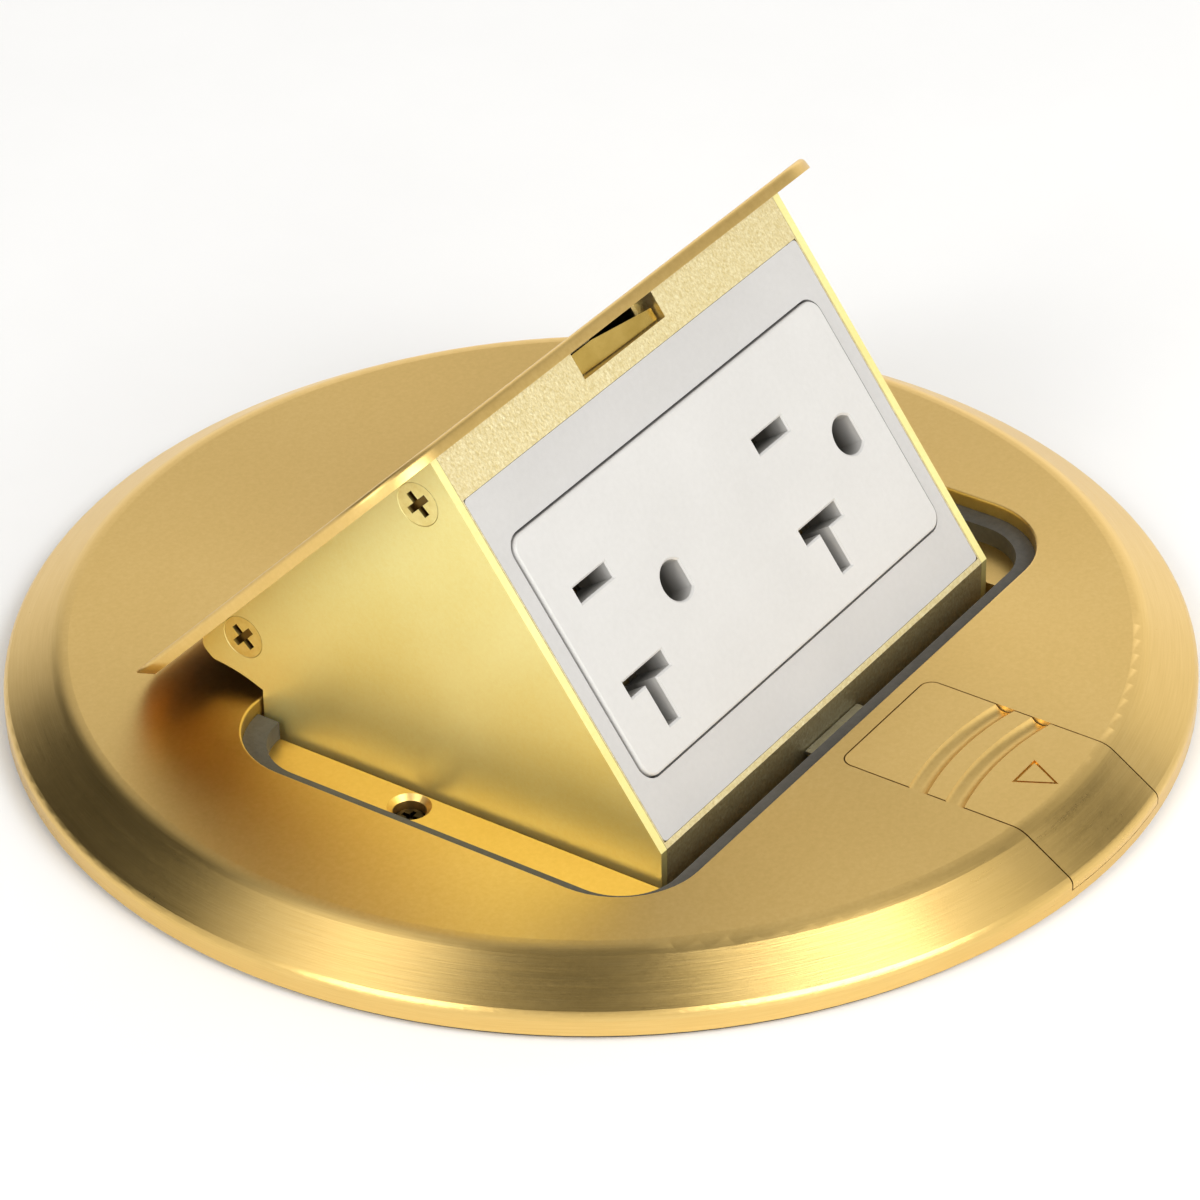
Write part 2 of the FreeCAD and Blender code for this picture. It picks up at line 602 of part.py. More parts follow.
def catch_spring():
    """Bowed leaf in the latch notch, its top edge falling from left to right."""
    end = NOTCH_HALF - 0.3
    low = NOTCH_LOW + 0.15
    back = V(0, 0, -LEAF_T)
    left, middle, right = V(-end, low, -3.0), V(0.5, low, -1.5), V(end, low, -1.1)
    front_arc = Part.Arc(left, middle, right).toShape()
    back_arc = Part.Arc(right + back, middle + back, left + back).toShape()
    ring = [front_arc, Part.LineSegment(right, right + back).toShape(), back_arc,
            Part.LineSegment(left + back, left).toShape()]
    leaf = Part.Face(Part.Wire(ring)).extrude(V(0, FACE_ABOVE - low, 0))
    sky = [V(-end - 1, FACE_ABOVE - 0.85, -5), V(-2.5, FACE_ABOVE - 0.6, -5), V(end + 1, low + 1.5, -5),
           V(end + 1, FACE_ABOVE + 1, -5), V(-end - 1, FACE_ABOVE + 1, -5)]
    over = Part.Face(Part.makePolygon(sky + sky[:1])).extrude(V(0, 0, 6))
    return on_face(leaf.cut(over))


def surround():
    plate = rounded_prism(-PLATE_HALF, PLATE_HALF, PLATE_LOW, PLATE_TOP, 0.6, -SURROUND_T, 0)
    window = rounded_prism(-DEVICE_HALF_X - 0.3, DEVICE_HALF_X + 0.3, -DEVICE_HALF_W - 0.3,
                           DEVICE_HALF_W + 0.3, DEVICE_CORNER + 0.3, -SURROUND_T - 1, 1)
    return on_face(plate.cut(window))


def socket_holes(x, z0, z1):
    """One socket's blade slots and ground hole."""
    hot = box(x - HOT_LONG / 2, x + HOT_LONG / 2, BLADE_W - SLOT_WIDE / 2, BLADE_W + SLOT_WIDE / 2, z0, z1)
    bar = box(x - T_LONG / 2, x + T_LONG / 2, -BLADE_W - SLOT_WIDE / 2, -BLADE_W + SLOT_WIDE / 2, z0, z1)
    stem = box(x - SLOT_WIDE / 2, x + SLOT_WIDE / 2, -BLADE_W - SLOT_WIDE / 2 - T_STEM,
               -BLADE_W - SLOT_WIDE / 2, z0, z1)
    ground_x = x + GROUND_X
    ground = cylinder(GROUND_R, V(ground_x, 0, z0), V(0, 0, z1 - z0))
    flat = box(ground_x + GROUND_FLAT, ground_x + 2 * GROUND_R, -GROUND_R, GROUND_R, z0, z1)
    return hot, bar.fuse(stem).removeSplitter(), ground.cut(flat)


def device_face():
    low = DEVICE_PROUD - DEVICE_FACE_T
    body = rounded_prism(-DEVICE_HALF_X, DEVICE_HALF_X, -DEVICE_HALF_W, DEVICE_HALF_W, DEVICE_CORNER,
                         low, DEVICE_PROUD)
    body = body.makeFillet(0.35, edges_at_height(body, DEVICE_PROUD))
    for x in SOCKET_XS:
        body = body.cut(list(socket_holes(x, low - 1, DEVICE_PROUD + 1)))
    mouths = [e for e in edges_at_height(body, DEVICE_PROUD)
              if max(abs(e.BoundBox.XMin), abs(e.BoundBox.XMax)) < DEVICE_HALF_X - 2
              and max(abs(e.BoundBox.YMin), abs(e.BoundBox.YMax)) < DEVICE_HALF_W - 1]
    return on_face(body.makeChamfer(0.25, mouths))


def contact_pockets(z0, z1):
    """Room in the outlet's back for the contacts, under each blade slot and ground hole."""
    pockets = []
    for x in SOCKET_XS:
        for w in (BLADE_W, -BLADE_W):
            pockets.append(box(x - 5, x + 5, w - 2.6, w + 2.6, z0, z1))
        pockets.append(box(x + GROUND_X - 3.2, x + GROUND_X + 3.2, -3.2, 3.2, z0, z1))
    for w in (BLADE_W, -BLADE_W):
        pockets.append(box(SOCKET_XS[0], SOCKET_XS[1], w - 0.9, w + 0.9, z0, z1))
    return pockets


def device_body():
    top = DEVICE_PROUD - DEVICE_FACE_T
    low = top - BODY_DEPTH
    body = rounded_prism(-BODY_HALF_X, BODY_HALF_X, -BODY_HALF_W, BODY_HALF_W, 3.0, low, top)
    body = body.makeFillet(1.2, edges_at_height(body, low))
    body = body.cut(contact_pockets(top - 12, top + 1))
    for sx in (-1, 1):
        for sw in (-1, 1):
            seat = V(sx * TERMINAL_X, sw * (BODY_HALF_W - TERMINAL_SINK), low + TERMINAL_UP)
            body = body.cut(cylinder(3.9, seat, V(0, sw * 5, 0)))
            body = body.cut(cylinder(TERMINAL_R + SEAT_GAP, seat, V(0, -sw * (TERMINAL_LONG + 0.3), 0)))
    return on_face(body)


def contact_clip(x, w, long_x, top):
    """Two spring blades on a base that grip one plug blade lying along X."""
    base = box(x - long_x / 2, x + long_x / 2, w - 2.2, w + 2.2, top - 11.5, top - 10.7)
    leaf = box(x - long_x / 2, x + long_x / 2, w - 1.4, w - 0.7, top - 10.7, top - 1.0)
    other = box(x - long_x / 2, x + long_x / 2, w + 0.7, w + 1.4, top - 10.7, top - 1.0)
    return base.fuse([leaf, other])


def power_contacts(side):
    """One pole's clips, joined by a bus strip."""
    top = DEVICE_PROUD - DEVICE_FACE_T
    w = side * BLADE_W
    clips = [contact_clip(x, w, 7.0, top) for x in SOCKET_XS]
    bus = box(SOCKET_XS[0], SOCKET_XS[1], w - 0.5, w + 0.5, top - 11.5, top - 10.7)
    return on_face(clips[0].fuse([clips[1], bus]).removeSplitter())


def ground_contacts():
    top = DEVICE_PROUD - DEVICE_FACE_T
    clips = []
    for x in SOCKET_XS:
        tube = cylinder(2.9, V(x + GROUND_X, 0, top - 11.5), V(0, 0, 10.5))
        bore = cylinder(2.35, V(x + GROUND_X, 0, top - 10.5), V(0, 0, 10.5))
        slit = box(x + GROUND_X - 0.4, x + GROUND_X + 0.4, -4, 4, top - 8.5, top)
        clips.append(on_face(tube.cut([bore, slit])))
    return Part.makeCompound(clips)


def terminal_screws(side):
    """Wire terminals in one flank of the outlet."""
    low = DEVICE_PROUD - DEVICE_FACE_T - BODY_DEPTH
    screw = pan_screw(3.4, 1.7, TERMINAL_R, TERMINAL_LONG)
    group = []
    for x in (-TERMINAL_X, TERMINAL_X):
        seat = V(x, side * (BODY_HALF_W - TERMINAL_SINK + SEAT_GAP), low + TERMINAL_UP)
        group.append(on_face(placed(screw, seat, V(0, side, 0))))
    return Part.makeCompound(group)


def mounting_strap():
    """Steel plate behind the frame that clamps the outlet's shoulders."""
    low = -FRAME_T - STRAP_T
    plate = rounded_prism(-FRAME_HALF_X + 0.8, FRAME_HALF_X - 0.8, -STRAP_SCREW_W - 2.6,
                          STRAP_SCREW_W + 2.6, 2.0, low, -FRAME_T)
    window = rounded_prism(-DEVICE_HALF_X - 0.2, DEVICE_HALF_X + 0.2, -DEVICE_HALF_W - 0.2,
                           DEVICE_HALF_W + 0.2, DEVICE_CORNER, low - 1, 0)
    plate = plate.cut(window)
    shoulder = DEVICE_PROUD - DEVICE_FACE_T
    wall = BODY_HALF_W + 0.1
    seat = shoulder - SEAT_GAP
    bottom = shoulder - BODY_DEPTH - 0.1
    outer = box(-4, 4, -wall - STRAP_T, wall + STRAP_T, bottom - STRAP_T, seat)
    hoop = outer.cut(box(-5, 5, -wall, wall, bottom, 1))
    foot = box(-4, 4, wall, DEVICE_HALF_W + 1.5, seat - 1.0, seat)
    riser = box(-4, 4, DEVICE_HALF_W + 0.2, DEVICE_HALF_W + 1.5, seat - 1.0, low)
    step = foot.fuse(riser)
    plate = plate.fuse([hoop, step, step.mirror(V(0, 0, 0), V(0, 1, 0))]).removeSplitter()
    for x in (-STRAP_SCREW_X, STRAP_SCREW_X):
        for w in (-STRAP_SCREW_W, STRAP_SCREW_W):
            plate = plate.cut(cylinder(SMALL_SCREW[1] + 0.15, V(x, w, low - 1), V(0, 0, STRAP_T + 2)))
    return on_face(plate)


def strap_screws():
    screw = pan_screw(2.3, 1.4, SMALL_SCREW[1], STRAP_T + 1.6)
    group = []
    for x in (-STRAP_SCREW_X, STRAP_SCREW_X):
        for w in (-STRAP_SCREW_W, STRAP_SCREW_W):
            seat = V(x, w, -FRAME_T - STRAP_T - SEAT_GAP)
            group.append(on_face(placed(screw, seat, V(0, 0, -1))))
    return Part.makeCompound(group)


def rear_cover():
    """Bent steel sheet that closes the wiring side of the pop-up unit."""
    sheet = REAR_T
    chin = panel_outline()["chin"]
    outer = [(REAR_Y, LID_UNDER - SEAT_GAP), (REAR_Y, REAR_BEND_Z), (REAR_KNEE_Y, REAR_KNEE_Z),
             (chin[0] + 5, chin[1] + 1.2), (chin[0] + 1.2, chin[1] + 2.4)]
    inner = [(y - sheet, z + 0.35 * sheet) for y, z in outer[1:3]]
    inner = [(outer[0][0] - sheet, outer[0][1])] + inner
    inner += [(outer[3][0] - 0.2, outer[3][1] + sheet), (outer[4][0] + 0.4, outer[4][1] + sheet)]
    cover = yz_prism(outer + inner[::-1], -FRAME_HALF_X, FRAME_HALF_X)
    hole = cylinder(CORD_R, V(0, REAR_Y + REAR_T, CORD_Z), V(0, -3 * REAR_T, 0))
    for x in (1, -1):
        near = x * (FRAME_HALF_X + 1)
        far = x * (FRAME_HALF_X - 5.6)
        cover = cover.cut(box(min(near, far), max(near, far), SCREW_BACK_Y - 3.6, TAB_END_Y,
                              LID_UNDER - SCREW_DROP - 3.6, LID_UNDER + 1))
    return cover.cut(hole)


def cord_bushing():
    """Grommet that snaps into the rear cover's wire hole."""
    barrel = cylinder(CORD_R - SEAT_GAP, V(0, REAR_Y - 3.0, CORD_Z), V(0, 4.6, 0))
    lip = cylinder(CORD_R + 1.6, V(0, REAR_Y + SEAT_GAP, CORD_Z), V(0, 1.5, 0))
    back_lip = cylinder(CORD_R + 1.2, V(0, REAR_Y - REAR_T - SEAT_GAP, CORD_Z), V(0, -1.4, 0))
    bore = cylinder(CORD_R - 1.2, V(0, REAR_Y - 5, CORD_Z), V(0, 10, 0))
    return barrel.fuse([lip, back_lip]).cut(bore).removeSplitter()


# ---- latch
def latch_slider():
    slider = cover_blank(SLOT_FLOOR + 0.1).common(slider_slot(0, SLOT_FLOOR))
    under = COVER_TOP - SLIDER_T
    relief = box(-SLIDER_HALF - 1, SLIDER_HALF + 1, -HOLLOW_R + 0.1, SLOT_IN_Y + 1, 0, under)
    over_frame = box(-SLIDER_HALF - 1, SLIDER_HALF + 1, FRAME_FRONT - 1.2, SLOT_IN_Y + 1, 0,
                     PLATE_UNDER + SLIDE_GAP)
    slider = slider.cut([relief, over_frame])
    flange_top = PLATE_UNDER - SLIDE_GAP
    flange = box(-FLANGE_HALF, FLANGE_HALF, FLANGE_OUT_Y, FLANGE_IN_Y, flange_top - FLANGE_T, flange_top)
    lug = box(-LUG_HALF, LUG_HALF, LUG_OUT_Y, LUG_OUT_Y + LUG_LONG, LUG_LOW, flange_top)
    slider = slider.fuse([flange, lug]).removeSplitter()
    for y in GRIP_YS:
        ring = Part.makeTorus(GRIP_BOW, GRIP_R, V(0, y - GRIP_BOW, COVER_TOP + GRIP_R - GRIP_DEPTH))
        slider = slider.cut(ring.common(box(-20, 20, y - 6, y + 6, 0, COVER_TOP + 5)))
    wide = yz_free_triangle(ARROW_HALF, ARROW_LONG, 0)
    slim = yz_free_triangle(ARROW_HALF - 1.6 * ARROW_CUT, ARROW_LONG - 2.6 * ARROW_CUT, ARROW_CUT)
    return slider.cut(wide.cut(slim))


def yz_free_triangle(half, length, inset):
    """Shallow triangular prism in the slider's top, pointing the way it slides."""
    y = ARROW_Y - inset
    z = COVER_TOP - ARROW_CUT
    ring = [V(-half, y, z), V(half, y, z), V(0, y - length, z)]
    return Part.Face(Part.makePolygon(ring + ring[:1])).extrude(V(0, 0, 1))


def latch_tongue():
    """Spring-steel leaf under the slider that hooks into the pop-up unit's notch."""
    top = PLATE_UNDER - SLIDE_GAP - FLANGE_T
    root_y = LUG_OUT_Y + LUG_LONG + 0.2
    leaf = box(-TONGUE_HALF, TONGUE_HALF, root_y, TONGUE_TIP_Y, top - TONGUE_T, top)
    for x in (-3, 3):
        leaf = leaf.cut(cylinder(1.0 + SEAT_GAP, V(x, FLANGE_IN_Y - 3, top - 2), V(0, 0, 4)))
    return leaf


def tongue_rivets():
    top = PLATE_UNDER - SLIDE_GAP - FLANGE_T
    group = []
    for x in (-3, 3):
        head = cylinder(1.7, V(x, FLANGE_IN_Y - 3, top - TONGUE_T), V(0, 0, -0.8))
        head = head.makeChamfer(0.4, edges_at_height(head, top - TONGUE_T - 0.8))
        group.append(head.fuse(cylinder(1.0, V(x, FLANGE_IN_Y - 3, top - TONGUE_T), V(0, 0, TONGUE_T))))
    return Part.makeCompound(group)


def latch_spring():
    """Compression spring between the slider's lug and the retainer's end wall."""
    wire = 0.28
    mean = 0.8
    z = LUG_LOW + mean + wire / 2
    start = LUG_OUT_Y - wire - SEAT_GAP
    end = STOP_WALL_Y + wire + SEAT_GAP
    turns = 4
    return coil(wire, mean, (start - end) / turns, turns, V(0, start, z), V(0, -1, 0))


def latch_retainer():
    """Channel under the cover that guides and holds the slider's flange."""
    slab = box(-RETAINER_HALF, RETAINER_HALF, -HOLLOW_R, FRAME_FRONT - 1.4, RETAINER_LOW, PLATE_UNDER)
    channel = box(-FLANGE_HALF - SLIDE_GAP, FLANGE_HALF + SLIDE_GAP, -HOLLOW_R - 1, FRAME_FRONT,
                  RETAINER_LOW + RETAINER_T, PLATE_UNDER + 1)
    room = cylinder(HOLLOW_R - 0.3, V(0, 0, 0), V(0, 0, PLATE_UNDER))
    wall = box(-LUG_HALF, LUG_HALF, -HOLLOW_R, STOP_WALL_Y, RETAINER_LOW, STOP_WALL_TOP)
    block = slab.cut(channel).fuse(wall).common(room).removeSplitter()
    sink = countersink(SMALL_SCREW[0], SMALL_SCREW[1], PLATE_UNDER)
    for x in (-RETAINER_SCREW_X, RETAINER_SCREW_X):
        block = block.cut(placed(sink, V(x, RETAINER_SCREW_Y, RETAINER_LOW), V(0, 0, -1)))
    return block


def retainer_screws():
    screw = flat_screw(*SMALL_SCREW)
    return Part.makeCompound([placed(screw, V(x, RETAINER_SCREW_Y, RETAINER_LOW + SEAT_GAP), V(0, 0, -1))
                              for x in (-RETAINER_SCREW_X, RETAINER_SCREW_X)])


# ---- box in the floor
def around(degrees, radius, z):
    a = math.radians(degrees)
    return V(radius * math.cos(a), radius * math.sin(a), z)


def box_shell():
    inner_r = BOX_R - BOX_WALL
    floor = BOX_WALL - BOX_DEPTH
    shell = revolved([(0, -BOX_DEPTH), (BOX_R - BOX_BEND, -BOX_DEPTH), (BOX_R, BOX_BEND - BOX_DEPTH),
                      (BOX_R, 0), (inner_r, 0), (inner_r, floor + BOX_BEND), (inner_r - BOX_BEND, floor),
                      (0, floor)])
    room = cylinder(inner_r, V(0, 0, floor), V(0, 0, BOX_DEPTH))
    feet = []
    for i in range(FOOT_COUNT):
        turn = 45 + i * 360 / FOOT_COUNT
        foot = rounded_prism(BOX_R - 5, FOOT_OUT, -FOOT_HALF, FOOT_HALF, 2.0, -BOX_DEPTH,
                             FOOT_T - BOX_DEPTH)
        foot = foot.cut(cylinder(FOOT_HOLE_R, V(FOOT_PCD / 2, 0, -BOX_DEPTH - 1), V(0, 0, FOOT_T + 2)))
        foot.rotate(V(0, 0, 0), V(0, 0, 1), turn)
        feet.append(foot.cut(room))
    shell = shell.fuse(feet)
    for degrees in KNOCKOUT_DEGS + (CONDUIT_DEG,):
        centre = around(degrees, BOX_R - 8, KNOCKOUT_Z)
        shell = shell.cut(cylinder(KNOCKOUT_R, centre, around(degrees, 16, 0)))
    return shell.removeSplitter()


def knockout_plugs():
    group = []
    ring = cylinder(BOX_R - 0.2, V(0, 0, -BOX_DEPTH), V(0, 0, BOX_DEPTH))
    ring = ring.cut(cylinder(BOX_R - BOX_WALL + 0.2, V(0, 0, -BOX_DEPTH), V(0, 0, BOX_DEPTH)))
    for degrees in KNOCKOUT_DEGS:
        plug = cylinder(KNOCKOUT_R - SEAT_GAP, around(degrees, BOX_R - 8, KNOCKOUT_Z), around(degrees, 16, 0))
        group.append(plug.common(ring))
    return Part.makeCompound(group)


def conduit_connector():
    """Straight connector in the open knockout: threaded neck, and a hub that takes the tube."""
    start = BOX_R - BOX_WALL - 5
    end = BOX_R + CONDUIT_OUT
    neck = cylinder(KNOCKOUT_R - 0.3, V(start, 0, 0), V(BOX_R - start + 1, 0, 0))
    hub = cylinder(HUB_R, V(BOX_R + 0.9, 0, 0), V(CONDUIT_OUT - 0.9, 0, 0))
    hub = hub.makeChamfer(0.8, [e for e in hub.Edges if e.Closed])
    throat = cylinder(THROAT_R, V(start - 1, 0, 0), V(CONDUIT_OUT, 0, 0))
    socket = cylinder(TUBE_R, V(end - TUBE_DEPTH, 0, 0), V(TUBE_DEPTH + 1, 0, 0))
    tapped = cylinder(SET_SCREW_R, V(end - TUBE_DEPTH / 2, 0, 0), V(0, 0, HUB_R + 1))
    return at_conduit(neck.fuse(hub).cut([throat, socket, tapped]).removeSplitter())


def connector_screw():
    """Side screw that grips the tube, drawn backed off flush with the hub's bore."""
    stem = pan_screw(2.6, 1.5, SET_SCREW_R, HUB_R - TUBE_R - 0.4)
    return at_conduit(placed(stem, V(BOX_R + CONDUIT_OUT - TUBE_DEPTH / 2, 0, HUB_R + SEAT_GAP)))


def at_conduit(shape):
    """Turns a piece drawn along +X about the box's axis to the open knockout."""
    shape.rotate(V(0, 0, 0), V(0, 0, 1), CONDUIT_DEG)
    shape.translate(V(0, 0, KNOCKOUT_Z))
    return shape


def connector_locknut():
    outside = math.sqrt((BOX_R - BOX_WALL) ** 2 - (KNOCKOUT_R + 2.6) ** 2)
    thick = 3.0
    nut = cylinder(KNOCKOUT_R + 2.6, V(outside - thick, 0, 0), V(thick, 0, 0))
    nut = nut.cut(cylinder(KNOCKOUT_R - 0.3 + SEAT_GAP, V(outside - thick - 1, 0, 0), V(thick + 2, 0, 0)))
    for i in range(6):
        notch = box(outside - thick - 1, outside + 1, KNOCKOUT_R + 1.3, KNOCKOUT_R + 4, -1.6, 1.6)
        notch.rotate(V(0, 0, 0), V(1, 0, 0), i * 60)
        nut = nut.cut(notch)
    return at_conduit(nut)


def box_ring():
    """Steel ring in the box's mouth that the cover is screwed to."""
    ring = cylinder(BOX_R - BOX_WALL, V(0, 0, -RING_T), V(0, 0, RING_T))
    half = APERTURE_HALF + RING_MARGIN / 2
    back = PIVOT_Y + EYE_R + RING_MARGIN
    mouth = rounded_prism(-half, half, APERTURE_FRONT - RING_MARGIN, back, RING_CORNER, -RING_T - 1, 1)
    ear_half = EAR_OUT_X + EAR_T + RING_MARGIN
    room = rounded_prism(-ear_half, ear_half, PIVOT_Y - EYE_R - RING_MARGIN, back, RING_CORNER,
                         -RING_T - 1, 1)
    ring = ring.cut([mouth, room])
    for x in (-FIX_X, FIX_X):
        boss = cylinder(2.4, V(x + math.copysign(0.4, x), 0, -RING_T), V(0, 0, -2.4))
        hole = cylinder(FIX_SHANK_R + SEAT_GAP, V(x, 0, -RING_T - 3), V(0, 0, RING_T + 4))
        ring = ring.fuse(boss).cut(hole)
    return ring.removeSplitter()


def ground_lug():
    """Raised pad with the box's earthing screw."""
    pad = cylinder(6.0, V(-38, -30, BOX_WALL - BOX_DEPTH), V(0, 0, 2.5))
    return pad.cut(cylinder(2.1, V(-38, -30, -BOX_DEPTH), V(0, 0, 8)))


def ground_screw():
    return placed(pan_screw(4.2, 2.2, 2.05, 2.4), V(-38, -30, BOX_WALL - BOX_DEPTH + 2.5 + SEAT_GAP))


def write(name, shape, is_open=False):
    made = placed_at(opened(shape) if is_open else shape, V(0, 0, BOX_DEPTH))
    made.exportStep(os.path.join("parts", name + ".step"))
    solids = made.Solids
    bad = [s for s in solids if not s.isValid()]
    print(name, len(solids), "solids", round(sum(s.Volume for s in solids), 1), "mm3",
          "BAD" if bad or not solids else "")


def main():
    os.makedirs("parts", exist_ok=True)
    panel = side_panel()
    fixed = {
        "cover_plate": cover_plate(), "floor_gasket": floor_gasket(), "hinge_frame": hinge_frame(),
        "lid_gasket": lid_gasket(), "cover_screws": fixing_screws(), "hinge_pins": hinge_pins(),
        "torsion_springs": torsion_springs(), "latch_slider": latch_slider(),
        "latch_tongue": latch_tongue(), "tongue_rivets": tongue_rivets(), "latch_spring": latch_spring(),
        "latch_retainer": latch_retainer(), "retainer_screws": retainer_screws(),
        "box_shell": box_shell(), "knockout_plugs": knockout_plugs(),
        "conduit_connector": conduit_connector(), "connector_locknut": connector_locknut(), "connector_screw": connector_screw(),
        "box_ring": box_ring(), "ground_pad": ground_lug(), "ground_screw": ground_screw(),
    }
    tilting = {
        "lid": lid(), "side_panel_right": panel, "side_panel_left": mirror_x(panel),
        "panel_screws": panel_screws(), "front_frame": front_frame(), "catch_spring": catch_spring(),
        "outlet_surround": surround(), "outlet_face": device_face(), "outlet_body": device_body(),
        "hot_contacts": power_contacts(1), "neutral_contacts": power_contacts(-1),
        "ground_contacts": ground_contacts(), "mounting_strap": mounting_strap(),
        "brass_terminals": terminal_screws(1),
        "silver_terminals": terminal_screws(-1),
        "strap_screws": strap_screws(), "rear_cover": rear_cover(), "cord_bushing": cord_bushing(),
    }
    for name, shape in fixed.items():
        write(name, shape)
    for name, shape in tilting.items():
        write(name, shape, True)


main()
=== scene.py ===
# %% [markdown]
# # A pop-up floor socket box
# A round brass cover lies on the floor. Its lid has sprung up and shows two sockets side by side.
# Underneath, in the floor, sits a steel box with the wiring. This lesson dresses the imported CAD
# model in Blender: the first cell loads it, the next ones set up the camera and the studio, and the
# rest make one finish or one piece each. All lengths are in metres.

# %% Load the imported model
import bpy, bmesh, math
from mathutils import Matrix, Vector


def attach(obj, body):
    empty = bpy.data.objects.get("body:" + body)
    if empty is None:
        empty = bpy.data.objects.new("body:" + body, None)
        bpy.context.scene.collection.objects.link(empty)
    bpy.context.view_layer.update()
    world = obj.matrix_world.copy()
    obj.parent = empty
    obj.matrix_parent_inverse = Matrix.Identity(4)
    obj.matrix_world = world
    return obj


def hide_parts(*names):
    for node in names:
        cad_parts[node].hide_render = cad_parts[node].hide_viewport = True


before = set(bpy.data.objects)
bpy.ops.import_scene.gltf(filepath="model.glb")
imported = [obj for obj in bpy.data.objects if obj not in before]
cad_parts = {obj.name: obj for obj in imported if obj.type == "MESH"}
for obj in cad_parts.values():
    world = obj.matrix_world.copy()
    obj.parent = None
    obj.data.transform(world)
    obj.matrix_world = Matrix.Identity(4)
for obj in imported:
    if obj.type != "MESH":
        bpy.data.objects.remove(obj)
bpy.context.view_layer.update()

# %% [markdown]
# ## The camera
# The cover is seen from its front left corner, about a third of the way up, through a long lens.
# A long lens keeps the ellipse of the round rim nearly free of perspective. A camera could be aimed
# with a Track To constraint, but its picture has to lean by one degree as well. So the direction is
# given as an azimuth, an elevation and a roll, and turned into the camera's three axes.

# %% Camera
AZIMUTH, ELEVATION, ROLL = (math.radians(a) for a in (-55.41, 33.967, -0.974))
FLOOR_Z = 0.070        # the finished floor above the box's underside
CAMERA_AT = Vector((-0.45484, -0.31369, 0.38274 + FLOOR_Z))
LENS_MM, SENSOR_MM = 159.6, 36
NEAREST = 0.01         # anything closer to the lens isn't drawn

back = Vector((math.sin(AZIMUTH) * math.cos(ELEVATION), -math.cos(AZIMUTH) * math.cos(ELEVATION),
               math.sin(ELEVATION)))
level = Vector((math.cos(AZIMUTH), math.sin(AZIMUTH), 0))
upright = back.cross(level)
right = math.cos(ROLL) * level + math.sin(ROLL) * upright
up = math.cos(ROLL) * upright - math.sin(ROLL) * level

bpy.ops.object.camera_add(location=CAMERA_AT)
camera = bpy.context.object
camera.name = "studio_camera"
camera.data.lens = LENS_MM
camera.data.sensor_width = SENSOR_MM
camera.data.clip_start = NEAREST
camera.matrix_world = Matrix.Translation(CAMERA_AT) @ Matrix((right, up, back)).transposed().to_4x4()
bpy.context.scene.camera = camera
print("camera looks along", [round(v, 3) for v in -back])

# %% [markdown]
# ## Working by hand
# In Blender's window a piece is made by selecting, adding, extruding and rounding. A script can call
# the same steps, but each of them acts on whatever is selected at that moment. These helpers make
# every selection on purpose: points, edges and faces are chosen by where they lie.

# %% Helpers for building by hand
def select_only(*objects):
    """Deselects everything, then selects these, if any, and makes the first one active."""
    if bpy.context.object and bpy.context.object.mode != "OBJECT":
        bpy.ops.object.mode_set(mode="OBJECT")
    bpy.ops.object.select_all(action="DESELECT")
    for o in objects:
        o.select_set(True)
    if objects:
        bpy.context.view_layer.objects.active = objects[0]


def settle(piece, name):
    """Names a finished piece and moves its place, turn and scale into its mesh."""
    select_only(piece)
    bpy.ops.object.transform_apply(location=True, rotation=True, scale=True)
    piece.name = name
    piece.data.name = name
    return piece


def edit(piece, choose=None, kind="EDGE"):
    """Opens edit mode with only the chosen edges, faces or points selected, or with all of them."""
    select_only(piece)
    bpy.ops.object.mode_set(mode="EDIT")
    bpy.ops.mesh.select_mode(type=kind)
    if choose is None:
        bpy.ops.mesh.select_all(action="SELECT")
        return
    bpy.ops.mesh.select_all(action="DESELECT")
    mesh = bmesh.from_edit_mesh(piece.data)
    items = {"EDGE": mesh.edges, "FACE": mesh.faces, "VERT": mesh.verts}[kind]
    for item in items:
        if choose(item):
            item.select_set(True)
    bmesh.update_edit_mesh(piece.data)


def done(piece):
    """Leaves edit mode."""
    bpy.ops.object.mode_set(mode="OBJECT")
    return piece


def point_outwards():
    """Turns all faces of the piece in edit mode outwards."""
    bpy.ops.mesh.select_all(action="SELECT")
    bpy.ops.mesh.normals_make_consistent(inside=False)


# %% [markdown]
# ## The floor
# The cover lies on the finished floor and the box hangs in a round hole under it. The hole could be
# cut out of a plane with a Boolean. A circle that is extruded and drawn outwards gives the same sheet
# with a clean round edge and no stray faces, so that is what is done here.

# %% Floor with a hole for the box
HOLE_R, FLOOR_R = 0.0672, 3.0
HOLE_SIDES = 160

select_only()
bpy.ops.mesh.primitive_circle_add(vertices=HOLE_SIDES, radius=HOLE_R, fill_type="NOTHING",
                                  location=(0, 0, FLOOR_Z))
floor = bpy.context.object
edit(floor)
bpy.ops.mesh.extrude_region_move()
bpy.ops.transform.resize(value=(FLOOR_R / HOLE_R, FLOOR_R / HOLE_R, 1),
                         center_override=(0, 0, FLOOR_Z))
point_outwards()
done(floor)
settle(floor, "floor_sheet")
print("floor hole", HOLE_R * 2000, "mm across")

# %% [markdown]
# ## Writing shaders as sums
# A node tree is easier to read as arithmetic. The class below wraps one socket. Adding, subtracting
# or multiplying two wrapped sockets makes the Math node for it, so a mask can be written as it would
# be on paper. Every other node comes from one function, which takes the node's type, its settings and
# the values of its sockets.

